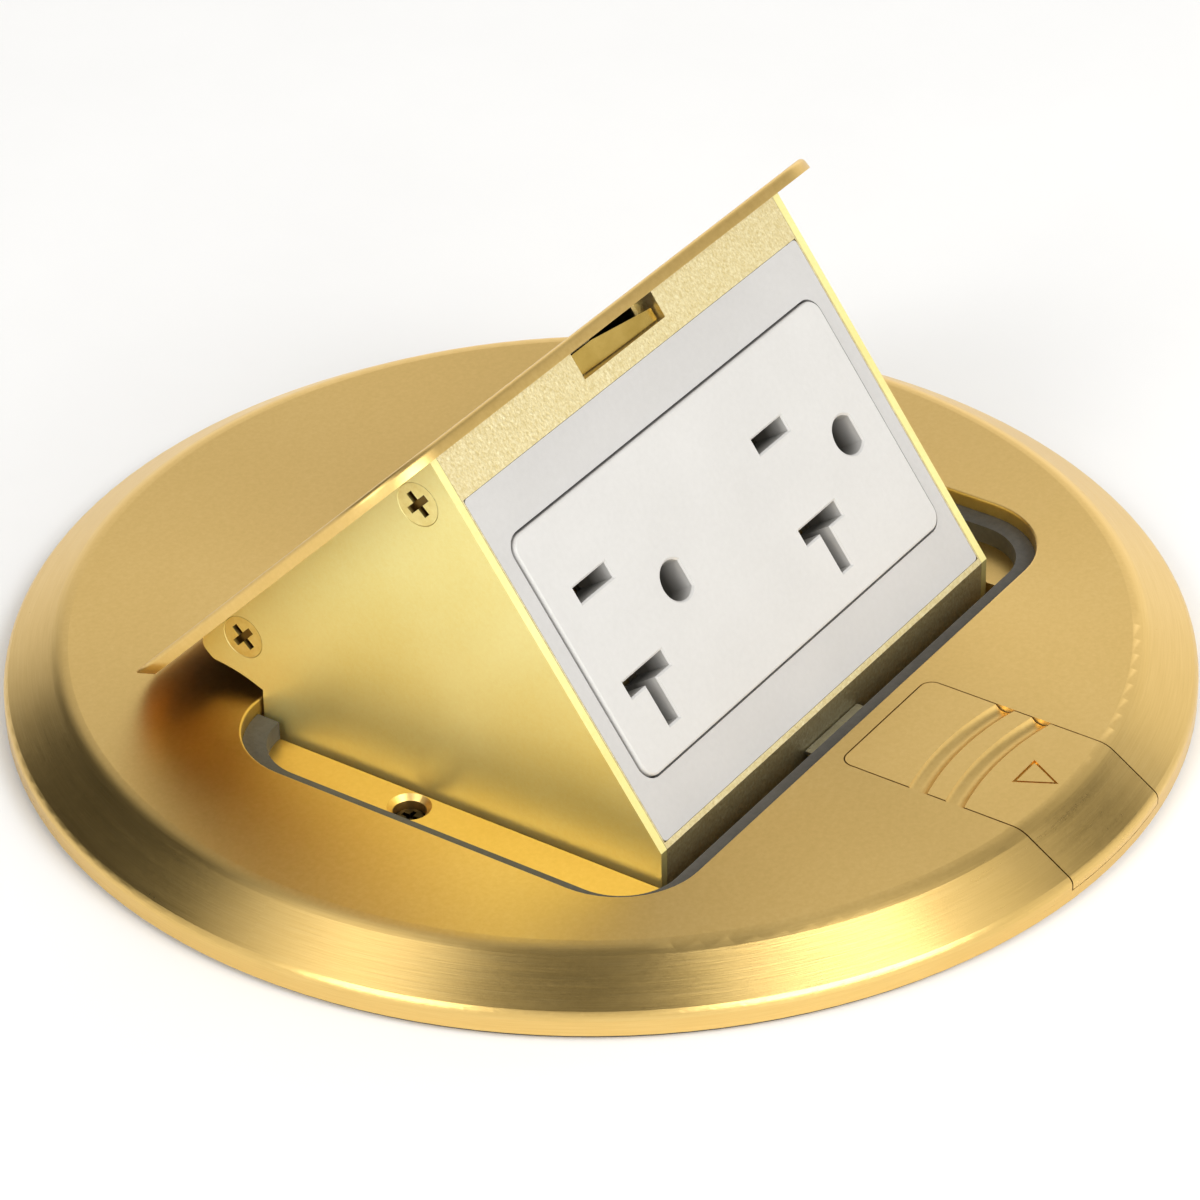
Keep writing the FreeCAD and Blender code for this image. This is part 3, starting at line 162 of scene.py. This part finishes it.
# %% Shader arithmetic
class Flow:
    """One socket of a node tree, with the usual operators."""

    def __init__(self, tree, socket):
        self.tree, self.socket = tree, socket

    def math(self, operation, *others):
        return node(self.tree, "ShaderNodeMath", {"operation": operation},
                    dict(enumerate((self,) + others)))

    def __add__(self, other):
        return self.math("ADD", other)

    def __sub__(self, other):
        return self.math("SUBTRACT", other)

    def __mul__(self, other):
        return self.math("MULTIPLY", other)

    def __rsub__(self, other):
        return (self * -1.0) + other

    __radd__, __rmul__ = __add__, __mul__

    def clamp(self, low=0.0, high=1.0):
        return self.math("MAXIMUM", low).math("MINIMUM", high)


def set_stops(ramp, stops):
    """Gives a colour ramp its places and colours."""
    while len(ramp.elements) < len(stops):
        ramp.elements.new(1.0)
    for element, (place, colour) in zip(ramp.elements, stops):
        element.position = place
        element.color = colour + (1,)


def node(tree, kind, settings=None, values=None, out=0):
    """Makes a node, sets its settings first, then its sockets, and wraps one output."""
    made = tree.nodes.new(kind)
    for key, value in (settings or {}).items():
        if key == "stops":
            set_stops(made.color_ramp, value)
        else:
            setattr(made, key, value)
    for key, value in (values or {}).items():
        if isinstance(value, Flow):
            tree.links.new(value.socket, made.inputs[key])
        else:
            made.inputs[key].default_value = value
    return Flow(tree, made.outputs[out])


# %% [markdown]
# ## Patterns and materials
# Every finish here is built from the same few things: a place on the metal, noise read at that place,
# a ramp that turns the noise into a tone, and a bump. They could be image textures, but noise has no
# seam and needs no unwrapping. All of it reads Object coordinates, so that it stays on a piece that
# moves.

# %% Patterns
def place_of(tree):
    return node(tree, "ShaderNodeTexCoord", out="Object")


def parts_of(tree, place):
    """The x, y and z of a place."""
    split = node(tree, "ShaderNodeSeparateXYZ", values={0: place}).socket.node
    return [Flow(tree, split.outputs[i]) for i in range(3)]


def noise(tree, place, scale, detail, rough):
    return node(tree, "ShaderNodeTexNoise", values={"Vector": place, "Scale": scale,
                                                    "Detail": detail, "Roughness": rough})


def tone_of(tree, factor, stops):
    """Turns a number into a colour between the given stops."""
    return node(tree, "ShaderNodeValToRGB", {"stops": stops}, {0: factor})


def bump(tree, height, strength, distance):
    return node(tree, "ShaderNodeBump", values={"Height": height, "Strength": strength,
                                                "Distance": distance})


# %% Materials
def new_material(name, **sockets):
    """A Principled material with its constant sockets set, its tree and its shader node."""
    material = bpy.data.materials.new(name)
    material.use_nodes = True
    tree = material.node_tree
    shader = tree.nodes["Principled BSDF"]
    for key, value in sockets.items():
        shader.inputs[key.replace("_", " ")].default_value = value
    return material, tree, shader


def feed(tree, shader, **flows):
    """Links what changes over the surface to the shader's sockets."""
    for key, value in flows.items():
        tree.links.new(value.socket, shader.inputs[key.replace("_", " ")])


def coat_node(names, material):
    """Gives CAD nodes a finish."""
    for name in names:
        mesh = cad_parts[name].data
        mesh.materials.clear()
        mesh.materials.append(material)
    print(material.name, "on", ", ".join(names))


# %% [markdown]
# ## Light
# Brushed metal shows what is round it, so the studio matters as much as the metal. Two lamps brighten
# the floor and the sockets. Everything else comes from a sky that isn't even: round soft lights and
# dark gaps hang at chosen directions, as lamps and black flags do in a product studio. They could be
# real cards and lamps, but those would stand in the way of other views. The bevel turns a little of
# each patch towards the camera, and its ring of brush marks smears them into radial streaks. Each row
# gives an azimuth and an elevation in degrees, a sharpness (a higher number is a smaller patch) and
# the brightness that the patch adds.

# %% Sky of soft patches
SKY_BASE, SKY_DARKEST, SKY_BRIGHTEST = 0.93, 0.02, 4.0
SKY_TINT = (1.0, 0.985, 0.955, 1)
SKY_PATCHES = [
    (95, 34, 14, -2.2),
    (-150, 78, 22, -2.9),
    (-29, 36, 70, -1.8),
    (139, 61, 50, 1.0),
    (165, 68, 60, 0.6),
    (-51, 53, 60, 0.4),
    (35, 34, 10, -0.15),
    (5, 26, 12, 0.2),
    (32, 10, 12, 0.7),
    (6, 58, 14, -0.8),
    (62, 38, 20, -0.25),
]


def direction(azimuth, elevation):
    a, e = math.radians(azimuth), math.radians(elevation)
    return (math.cos(e) * math.cos(a), math.cos(e) * math.sin(a), math.sin(e))


def soft_sky():
    world = bpy.data.worlds.new("studio_sky")
    bpy.context.scene.world = world
    world.use_nodes = True
    tree = world.node_tree
    look = node(tree, "ShaderNodeTexCoord", out="Generated")
    light = SKY_BASE
    for azimuth, elevation, sharpness, amount in SKY_PATCHES:
        near = node(tree, "ShaderNodeVectorMath", {"operation": "DOT_PRODUCT"},
                    {0: look, 1: direction(azimuth, elevation)}, out="Value")
        light = near.clamp().math("POWER", float(sharpness)) * amount + light
    background = tree.nodes["Background"]
    background.inputs["Color"].default_value = SKY_TINT
    tree.links.new(light.clamp(SKY_DARKEST, SKY_BRIGHTEST).socket, background.inputs["Strength"])


soft_sky()
bpy.context.scene.view_settings.view_transform = "Standard"
print("sky patches:", len(SKY_PATCHES))


# %% Lamps
def lamp(name, place, size, watts):
    """A large square soft lamp that looks at the middle of the cover."""
    bpy.ops.object.light_add(type="AREA", location=place)
    light = bpy.context.object
    light.name = name
    light.data.shape = "SQUARE"
    light.data.size = size
    light.data.energy = watts
    aim = Vector((0, 0, FLOOR_Z))
    light.rotation_euler = (aim - Vector(place)).to_track_quat("-Z", "Y").to_euler()
    print(name, watts, "W")


lamp("lamp_key", (-0.22, -1.24, 1.16), 1.05, 18)
lamp("lamp_fill", (-1.25, 0.15, 0.97), 0.6, 6)

# %% [markdown]
# ## Satin brass, brushed in rings
# The cover is turned from thick brass and brushed while it spins. The flat top looks finely grained,
# and on the bevel the brush marks run round it and pull every highlight into a radial streak. Real
# grooves would need millions of faces. Instead the grain is noise stretched along the angle round the
# centre, read at (radius, angle, height), and the shader's own anisotropy does the streaks.

# %% Cover brass
BEVEL_FROM = 0.0672      # radius at which the flat ends
BEVEL_FADE = 900.0       # the two grains change over within 1/900 of a metre
LINES = (5200.0, 9.0)    # fine brush marks: how many across, and along the angle
BANDS = (900.0, 3.0)     # broad bands between them
STREAKS = 0.75           # anisotropy of the brushed bevel
ACROSS = 0.25            # a quarter turn, so that highlights run across the brush marks
BRASS_TONES = [(0.3, (0.735, 0.50, 0.160)), (0.5, (0.785, 0.54, 0.185)), (0.7, (0.830, 0.59, 0.220))]


def ring_parts(tree):
    """Distance from the cover's centre line, angle round it, and height."""
    x, y, z = parts_of(tree, place_of(tree))
    return (x * x + y * y).math("SQRT"), y.math("ARCTAN2", x), z


def ring_noise(tree, ring, across, along):
    radius, angle, height = ring
    place = node(tree, "ShaderNodeCombineXYZ", values={0: radius * across, 1: angle * along,
                                                       2: height * across})
    return noise(tree, place, 1.0, 3.0, 0.6)


def cover_brass(name, streaks, tones=BRASS_TONES):
    material, tree, shader = new_material(name, Metallic=1.0, Anisotropic=streaks,
                                          Anisotropic_Rotation=ACROSS)
    ring = ring_parts(tree)
    bevel = ((ring[0] - BEVEL_FROM) * BEVEL_FADE).clamp()
    flat = 1.0 - bevel
    lines = ring_noise(tree, ring, *LINES)
    bands = ring_noise(tree, ring, *BANDS)
    sand = noise(tree, place_of(tree), 1500.0, 3.0, 0.7)
    cloud = noise(tree, place_of(tree), 30.0, 3.0, 0.5)
    tone = tone_of(tree, (lines * bevel + sand * flat) * 0.55 + cloud * 0.45, tones)
    rough = 0.32 - bevel * 0.12 + sand * 0.06 + bands * bevel * 0.08 + cloud * 0.06
    height = sand * flat * 0.35 + lines * bevel * 0.8 + sand * bevel * 0.15
    feed(tree, shader, Base_Color=tone, Roughness=rough, Normal=bump(tree, height, 0.22, 0.00008))
    return material


COVER = cover_brass("cover_brass", STREAKS)
SATIN = cover_brass("satin_brass", 0.0)
coat_node(["cover_plate"], COVER)
coat_node(["latch_slider", "hinge_frame", "lid"], SATIN)

# %% [markdown]
# ## The lid
# The lid is a plate with round corners. Its top edge is worn round by the polishing wheel, and the
# underside of its back edge slopes, so that it can swing out of the opening. Underneath it is dull and
# dark: painted shade, a darker copy of the satin brass. The CAD lid has the right size but a sharp
# edge. Rounding its loose triangles would be fiddly, so the plate is built again: a rectangle, level as
# it lies when shut, whose corners are rounded and which is then given its thickness, its slope and its
# worn edge.

# %% Lid plate, lying level
HINGE_AT = (0, 0.0335, 0.0598)
OPEN_ANGLE = math.radians(46.5)
LID_HALF, LID_FRONT, LID_BACK = 0.0485, -0.0390, 0.02415
LID_TOP, LID_THICK, LID_CORNER = 0.0782, 0.0017, 0.0106
LID_CORE = LID_TOP - LID_THICK / 2      # height half way through the plate
LID_SLOPE = 0.0031                      # how much the back edge slopes inwards on its way down
LID_WORN = 0.0007                       # width of the worn top edge
CORNER_STEPS, WORN_STEPS = 14, 5
SLACK = 1e-5                            # to be sure that a limit takes in the points that lie on it

select_only()
bpy.ops.mesh.primitive_plane_add(size=1, location=(0, (LID_FRONT + LID_BACK) / 2, LID_TOP))
plate = bpy.context.object
plate.scale = (2 * LID_HALF, LID_BACK - LID_FRONT, 1)
settle(plate, "lid_plate")
edit(plate, kind="VERT")
bpy.ops.mesh.bevel(offset=LID_CORNER, segments=CORNER_STEPS, affect="VERTICES")
bpy.ops.mesh.select_all(action="SELECT")
bpy.ops.mesh.extrude_region_move(TRANSFORM_OT_translate={"value": (0, 0, -LID_THICK)})
done(plate)
print("level plate:", len(plate.data.vertices), "points")


# %% Sloped back edge and worn top edge
def low_at_the_back(v):
    return v.co.z < LID_CORE and v.co.y > LID_BACK - LID_CORNER - SLACK


def top_edge(e):
    """True for the edges round the top face, where the plate turns down sharply."""
    return all(v.co.z > LID_CORE for v in e.verts) and e.is_manifold and abs(e.calc_face_angle(0)) > 0.5


edit(plate, low_at_the_back, "VERT")
bpy.ops.transform.translate(value=(0, -LID_SLOPE, 0))
done(plate)
edit(plate, top_edge)
bpy.ops.mesh.bevel(offset=LID_WORN, segments=WORN_STEPS, affect="EDGES")
point_outwards()
done(plate)
print("plate with its edges:", len(plate.data.vertices), "points")

# %% [markdown]
# The underside is found while the plate is level, because then its faces point straight down. After
# that the plate is turned about the hinge pins. The two blocks under it, which take the side panels'
# rear screws, are rounded cubes. They are turned in the same way and joined to the plate, and the
# whole of each block wears the underside's painted shade.

# %% Underside with painted shade, opening and lugs
# painted shade: the underside's brass tones are multiplied by this tint
UNDER_SHADE_TINT = (0.46, 0.40, 0.34)
LUG_X, LUG_Y = 0.0340, 0.0099
LUG_SIZE = (0.0044, 0.0064, 0.0062)
LUG_ROUND = 0.0004

# a darker copy of the satin brass, painted shade for faces that look down
under_shade_tones = [(at, tuple(c * t for c, t in zip(tone, UNDER_SHADE_TINT))) for at, tone in BRASS_TONES]
UNDER_SHADE = cover_brass("lid_underside", 0.0, under_shade_tones)


def swing_open():
    """Turns the whole piece in edit mode from shut to open."""
    bpy.ops.transform.rotate(value=OPEN_ANGLE, orient_axis="X", center_override=HINGE_AT)


def give_satin_or_shade(piece, is_under):
    """Two materials, satin brass and its darker copy as painted shade, and for each face the one that
    it wears.
    """
    piece.data.materials.append(SATIN)
    piece.data.materials.append(UNDER_SHADE)
    for face in piece.data.polygons:
        face.material_index = int(is_under(face))


def lid_lug(side):
    """Block under the lid that takes a side panel's rear screw."""
    select_only()
    bpy.ops.mesh.primitive_cube_add(size=1, location=(side * LUG_X, LUG_Y,
                                                      LID_TOP - LID_THICK - LUG_SIZE[2] / 2))
    lug = bpy.context.object
    lug.scale = LUG_SIZE
    settle(lug, "lid_lug")
    edit(lug)
    bpy.ops.mesh.bevel(offset=LUG_ROUND, segments=2, affect="EDGES")
    swing_open()
    done(lug)
    # the whole block wears the underside's painted shade
    give_satin_or_shade(lug, lambda face: True)
    return lug


facing_down = {f.index for f in plate.data.polygons if f.normal.z < -0.9}
edit(plate)
swing_open()
done(plate)
# faces that look down when shut get the painted shade
give_satin_or_shade(plate, lambda face: face.index in facing_down)
lugs = [lid_lug(side) for side in (-1, 1)]
print("faces that look down when shut:", len(facing_down))


# %% The lid in one piece
def heights(o):
    """Lowest and highest point of an object."""
    z = [(o.matrix_world @ v.co).z for v in o.data.vertices]
    return round(min(z), 4), round(max(z), 4)


select_only(plate, *lugs)
bpy.ops.object.join()
select_only(plate)
bpy.ops.object.shade_smooth_by_angle(angle=math.radians(35))
lid = settle(plate, "lid_plate")
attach(lid, "pop_up_unit")
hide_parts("lid")
print("lid faces:", len(lid.data.polygons), "z", heights(lid), "CAD", heights(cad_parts["lid"]))

# %% [markdown]
# ## Sheet brass for the sides
# The side panels are bent from thin polished sheet. They are smoother and yellower than the cover,
# with a faint grain along the sheet and soft clouds of lacquer. The grain could be the same rings as
# on the cover, but rolled sheet has straight marks, so the noise is stretched along one axis.

# %% Panel brass
SHEET_GRAIN = (900, 120, 900)
SHEET_TONES = [(0.3, (0.94, 0.83, 0.33)), (0.7, (1.00, 0.94, 0.47))]


def panel_brass():
    material, tree, shader = new_material("panel_brass", Metallic=1.0)
    place = place_of(tree)
    stretched = node(tree, "ShaderNodeMapping", values={"Vector": place, "Scale": SHEET_GRAIN})
    fine = noise(tree, stretched, 1.0, 3.0, 0.6)
    sand = noise(tree, place, 1800.0, 3.0, 0.7)
    cloud = noise(tree, place, 55.0, 3.0, 0.5)
    feed(tree, shader, Base_Color=tone_of(tree, sand * 0.4 + cloud * 0.6, SHEET_TONES),
         Roughness=0.44 + cloud * 0.10 + fine * 0.04,
         Normal=bump(tree, sand * 0.6 + fine * 0.2, 0.12, 0.00006))
    return material


coat_node(["side_panel_left", "side_panel_right"], panel_brass())

# %% [markdown]
# ## Panel screws
# The four small screws are of the same brass as the panels, and their driver recesses are nearly
# black in shade. The recesses are cut in the CAD solid. Rendered shade alone leaves them too bright in
# so open a studio, so painted shade is added: a mask on the distance from the middle of the unit
# darkens what lies deeper than the heads.

# %% Screw brass, with painted shade in the recesses
RECESS_X = 0.0373          # what is nearer to the middle plane than this is down in a recess
RECESS_FADE = 2500.0       # full darkness 1/2500 of a metre further down
# colour of the painted shade deep in the recesses
RECESS_SHADE_TONE = (0.16, 0.10, 0.03)
SCREW_TONES = [(0.3, (0.86, 0.72, 0.27)), (0.7, (0.97, 0.86, 0.38))]
COLOUR_A, COLOUR_B, COLOUR_OUT = 6, 7, 2     # a Mix node's sockets for colours


def mix_painted_shade(tree, factor, tone, dark):
    """Mixes a tone with one dark colour, the painted shade, by the given factor."""
    return node(tree, "ShaderNodeMix", {"data_type": "RGBA"},
                {0: factor, COLOUR_A: tone, COLOUR_B: dark + (1,)}, out=COLOUR_OUT)


def screw_brass():
    material, tree, shader = new_material("screw_brass", Metallic=1.0)
    place = place_of(tree)
    aside = parts_of(tree, place)[0].math("ABSOLUTE")
    # painted shade: grows with depth below the screw heads
    recess_shade = ((RECESS_X - aside) * RECESS_FADE).clamp()
    fine = noise(tree, place, 900.0, 3.0, 0.6)
    tone = tone_of(tree, fine, SCREW_TONES)
    feed(tree, shader, Base_Color=mix_painted_shade(tree, recess_shade, tone, RECESS_SHADE_TONE),
         Roughness=0.36 + fine * 0.12, Normal=bump(tree, fine, 0.1, 0.0001))
    return material


coat_node(["panel_screws"], screw_brass())

# %% [markdown]
# ## Cast brass
# The frame round the outlet is left as it came from the mould: a coarse, sparkling skin. Noise alone
# looks like sand, so a Voronoi pattern adds the small round pits that a casting has.

# %% Cast brass
CAST_TONES = [(0.25, (0.70, 0.56, 0.24)), (0.55, (0.84, 0.73, 0.42)), (0.75, (0.95, 0.88, 0.60))]


def cast_brass():
    material, tree, shader = new_material("cast_brass", Metallic=1.0)
    place = place_of(tree)
    pits = node(tree, "ShaderNodeTexVoronoi", {"feature": "F1"}, {"Vector": place, "Scale": 2400.0},
                out="Distance")
    fine = noise(tree, place, 2200.0, 4.0, 0.7)
    feed(tree, shader, Base_Color=tone_of(tree, fine, CAST_TONES), Roughness=0.34 + fine * 0.2,
         Normal=bump(tree, pits * 0.5 + fine, 0.5, 0.00012))
    return material


coat_node(["front_frame"], cast_brass())

# %% [markdown]
# The CAD solid of this frame has two small blocks too many: the tops of its corner posts lie on the
# lid, less than half a millimetre high. The frame is copied, the copy's loose triangles are merged,
# and everything on it that is above the lid's core when the unit is shut is deleted. The copy is what
# is shown.

# %% Outlet frame without the two blocks on the lid
MERGE = 1e-6               # points closer than this become one


def height_when_shut(point):
    """Height of a point of the open unit once the unit is turned back about its hinge pins."""
    return (HINGE_AT[2] + math.sin(OPEN_ANGLE) * (point.y - HINGE_AT[1])
            + math.cos(OPEN_ANGLE) * (point.z - HINGE_AT[2]))


cad_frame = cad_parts["front_frame"]
outlet_frame = bpy.data.objects.new("outlet_frame", cad_frame.data.copy())
bpy.context.collection.objects.link(outlet_frame)
outlet_frame.matrix_world = cad_frame.matrix_world
settle(outlet_frame, "outlet_frame")
edit(outlet_frame)
bpy.ops.mesh.remove_doubles(threshold=MERGE)
done(outlet_frame)
before = len(outlet_frame.data.vertices)
edit(outlet_frame, lambda v: height_when_shut(v.co) > LID_CORE, "VERT")
bpy.ops.mesh.delete(type="VERT")
done(outlet_frame)
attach(outlet_frame, "pop_up_unit")
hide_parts("front_frame")
print("points taken off:", before - len(outlet_frame.data.vertices))

# %% [markdown]
# ## Plastics, rubber and steel
# The outlet's surround is white thermoplastic with a very fine moulded texture. The seals are dark
# grey rubber. Most hidden hardware is zinc plated steel. Each could have a tree of its own, but what
# they show is the same: a fine grain and a slow cloudiness. So they share one recipe and differ in
# tone, roughness and size of grain.

# %% Recipe for moulded and plated finishes
CLOUD_SIZE = 24.0          # the clouds are this many times larger than the grain
ROUGH_SPREAD = 0.12        # how much the roughness varies in all


def moulded_or_plated(name, low, high, rough, scale, metal=0.0, depth=0.0001, strength=0.15):
    """A finish whose tone, roughness and surface vary with a fine grain and with clouds."""
    material, tree, shader = new_material(name, Metallic=metal)
    place = place_of(tree)
    fine = noise(tree, place, scale, 3.0, 0.6)
    cloud = noise(tree, place, scale / CLOUD_SIZE, 2.0, 0.5)
    feed(tree, shader, Base_Color=tone_of(tree, fine * 0.4 + cloud * 0.6, [(0.35, low), (0.65, high)]),
         Roughness=rough + cloud * ROUGH_SPREAD - ROUGH_SPREAD / 2,
         Normal=bump(tree, fine, strength, depth))
    return material


# %% Finishes of the smaller pieces
FINISHES = [
    ("surround_white", ["outlet_surround"],
     dict(low=(0.48, 0.47, 0.455), high=(0.52, 0.51, 0.495), rough=0.42, scale=1400.0)),
    ("outlet_ivory", ["outlet_body"],
     dict(low=(0.58, 0.56, 0.50), high=(0.64, 0.62, 0.56), rough=0.45, scale=900.0)),
    ("leaf_brass", ["catch_spring"],
     dict(low=(0.46, 0.31, 0.07), high=(0.66, 0.47, 0.14), rough=0.24, scale=300.0, metal=1.0)),
    ("seal_rubber", ["floor_gasket", "lid_gasket", "cord_bushing"],
     dict(low=(0.060, 0.056, 0.048), high=(0.10, 0.094, 0.080), rough=0.62, scale=1200.0,
          strength=0.4)),
    ("plated_steel", ["hinge_pins", "tongue_rivets", "latch_retainer", "retainer_screws",
                      "connector_screw", "mounting_strap", "silver_terminals", "strap_screws",
                      "rear_cover"],
     dict(low=(0.42, 0.43, 0.44), high=(0.56, 0.57, 0.58), rough=0.34, scale=700.0, metal=1.0)),
    ("spring_steel", ["torsion_springs", "latch_tongue", "latch_spring"],
     dict(low=(0.34, 0.35, 0.37), high=(0.48, 0.49, 0.50), rough=0.28, scale=900.0, metal=1.0)),
    ("zinc_spangle", ["box_shell", "knockout_plugs", "box_ring", "ground_pad"],
     dict(low=(0.40, 0.42, 0.44), high=(0.60, 0.62, 0.64), rough=0.38, scale=300.0, metal=1.0)),
    ("cast_zinc", ["conduit_connector", "connector_locknut"],
     dict(low=(0.42, 0.43, 0.44), high=(0.52, 0.53, 0.54), rough=0.46, scale=800.0, metal=1.0,
          strength=0.4, depth=0.0003)),
    ("earth_green", ["ground_screw"],
     dict(low=(0.02, 0.19, 0.06), high=(0.04, 0.27, 0.09), rough=0.35, scale=600.0)),
    ("black_screw", ["cover_screws"],
     dict(low=(0.03, 0.022, 0.015), high=(0.06, 0.045, 0.03), rough=0.4, scale=800.0, metal=1.0)),
    ("contact_brass", ["hot_contacts", "neutral_contacts", "ground_contacts", "brass_terminals"],
     dict(low=(0.66, 0.46, 0.18), high=(0.80, 0.60, 0.28), rough=0.30, scale=900.0, metal=1.0)),
]
for name, names, recipe in FINISHES:
    coat_node(names, moulded_or_plated(name, **recipe))

# %% [markdown]
# ## The outlet's face
# The face is glossy white plastic, and its slots look dark grey inside. White walls pass light on from
# one to the next, so the slots of a plain white face stay too bright, and painted shade is added to
# them. Painting their faces one by one would need a list of them. Here the depth under the face's
# plane does it: the deeper, the more painted shade.

# %% Outlet white, with painted shade down in its holes
FACE_MIDDLE = (0.0, -0.02008, 0.09799)
FACE_LEAN = math.radians(36.0)
FACE_NORMAL = (0.0, -math.cos(FACE_LEAN), math.sin(FACE_LEAN))
HOLE_FROM = 0.0008         # depth at which the holes begin to darken
HOLE_FADE = 320.0          # full darkness 1/320 of a metre further down
# colour of the painted shade deepest in the holes
HOLE_SHADE_TONE = (0.115, 0.11, 0.10)
FACE_TONES = [(0.35, (0.55, 0.54, 0.52)), (0.65, (0.59, 0.58, 0.56))]


def outlet_white():
    """Moulded white with painted shade in its holes, growing with their depth under the face."""
    material, tree, shader = new_material("outlet_white", Metallic=0.0)
    place = place_of(tree)
    offset = node(tree, "ShaderNodeVectorMath", {"operation": "SUBTRACT"}, {0: place, 1: FACE_MIDDLE})
    height = node(tree, "ShaderNodeVectorMath", {"operation": "DOT_PRODUCT"},
                  {0: offset, 1: FACE_NORMAL}, out="Value")
    # painted shade: grows with depth under the face's plane
    hole_depth_shade = ((height * -1.0 - HOLE_FROM) * HOLE_FADE).clamp()
    fine = noise(tree, place, 1400.0, 3.0, 0.6)
    cloud = noise(tree, place, 60.0, 2.0, 0.5)
    tone = tone_of(tree, fine * 0.4 + cloud * 0.6, FACE_TONES)
    feed(tree, shader, Base_Color=mix_painted_shade(tree, hole_depth_shade, tone, HOLE_SHADE_TONE),
         Roughness=0.27 + cloud * 0.1 + hole_depth_shade * 0.2, Normal=bump(tree, fine, 0.08, 0.0001))
    return material


coat_node(["outlet_face"], outlet_white())

# %% [markdown]
# ## Floor paint
# The sheet under the cover is nearly white, so that it fades into the bright sky behind it. A shiny
# floor would mirror the brass, so it is matt.

# %% Floor paint
floor.data.materials.append(moulded_or_plated("floor_paint", (0.93, 0.93, 0.93), (0.96, 0.96, 0.96),
                                              rough=0.7, scale=30.0))
print("floor paint on", floor.name)
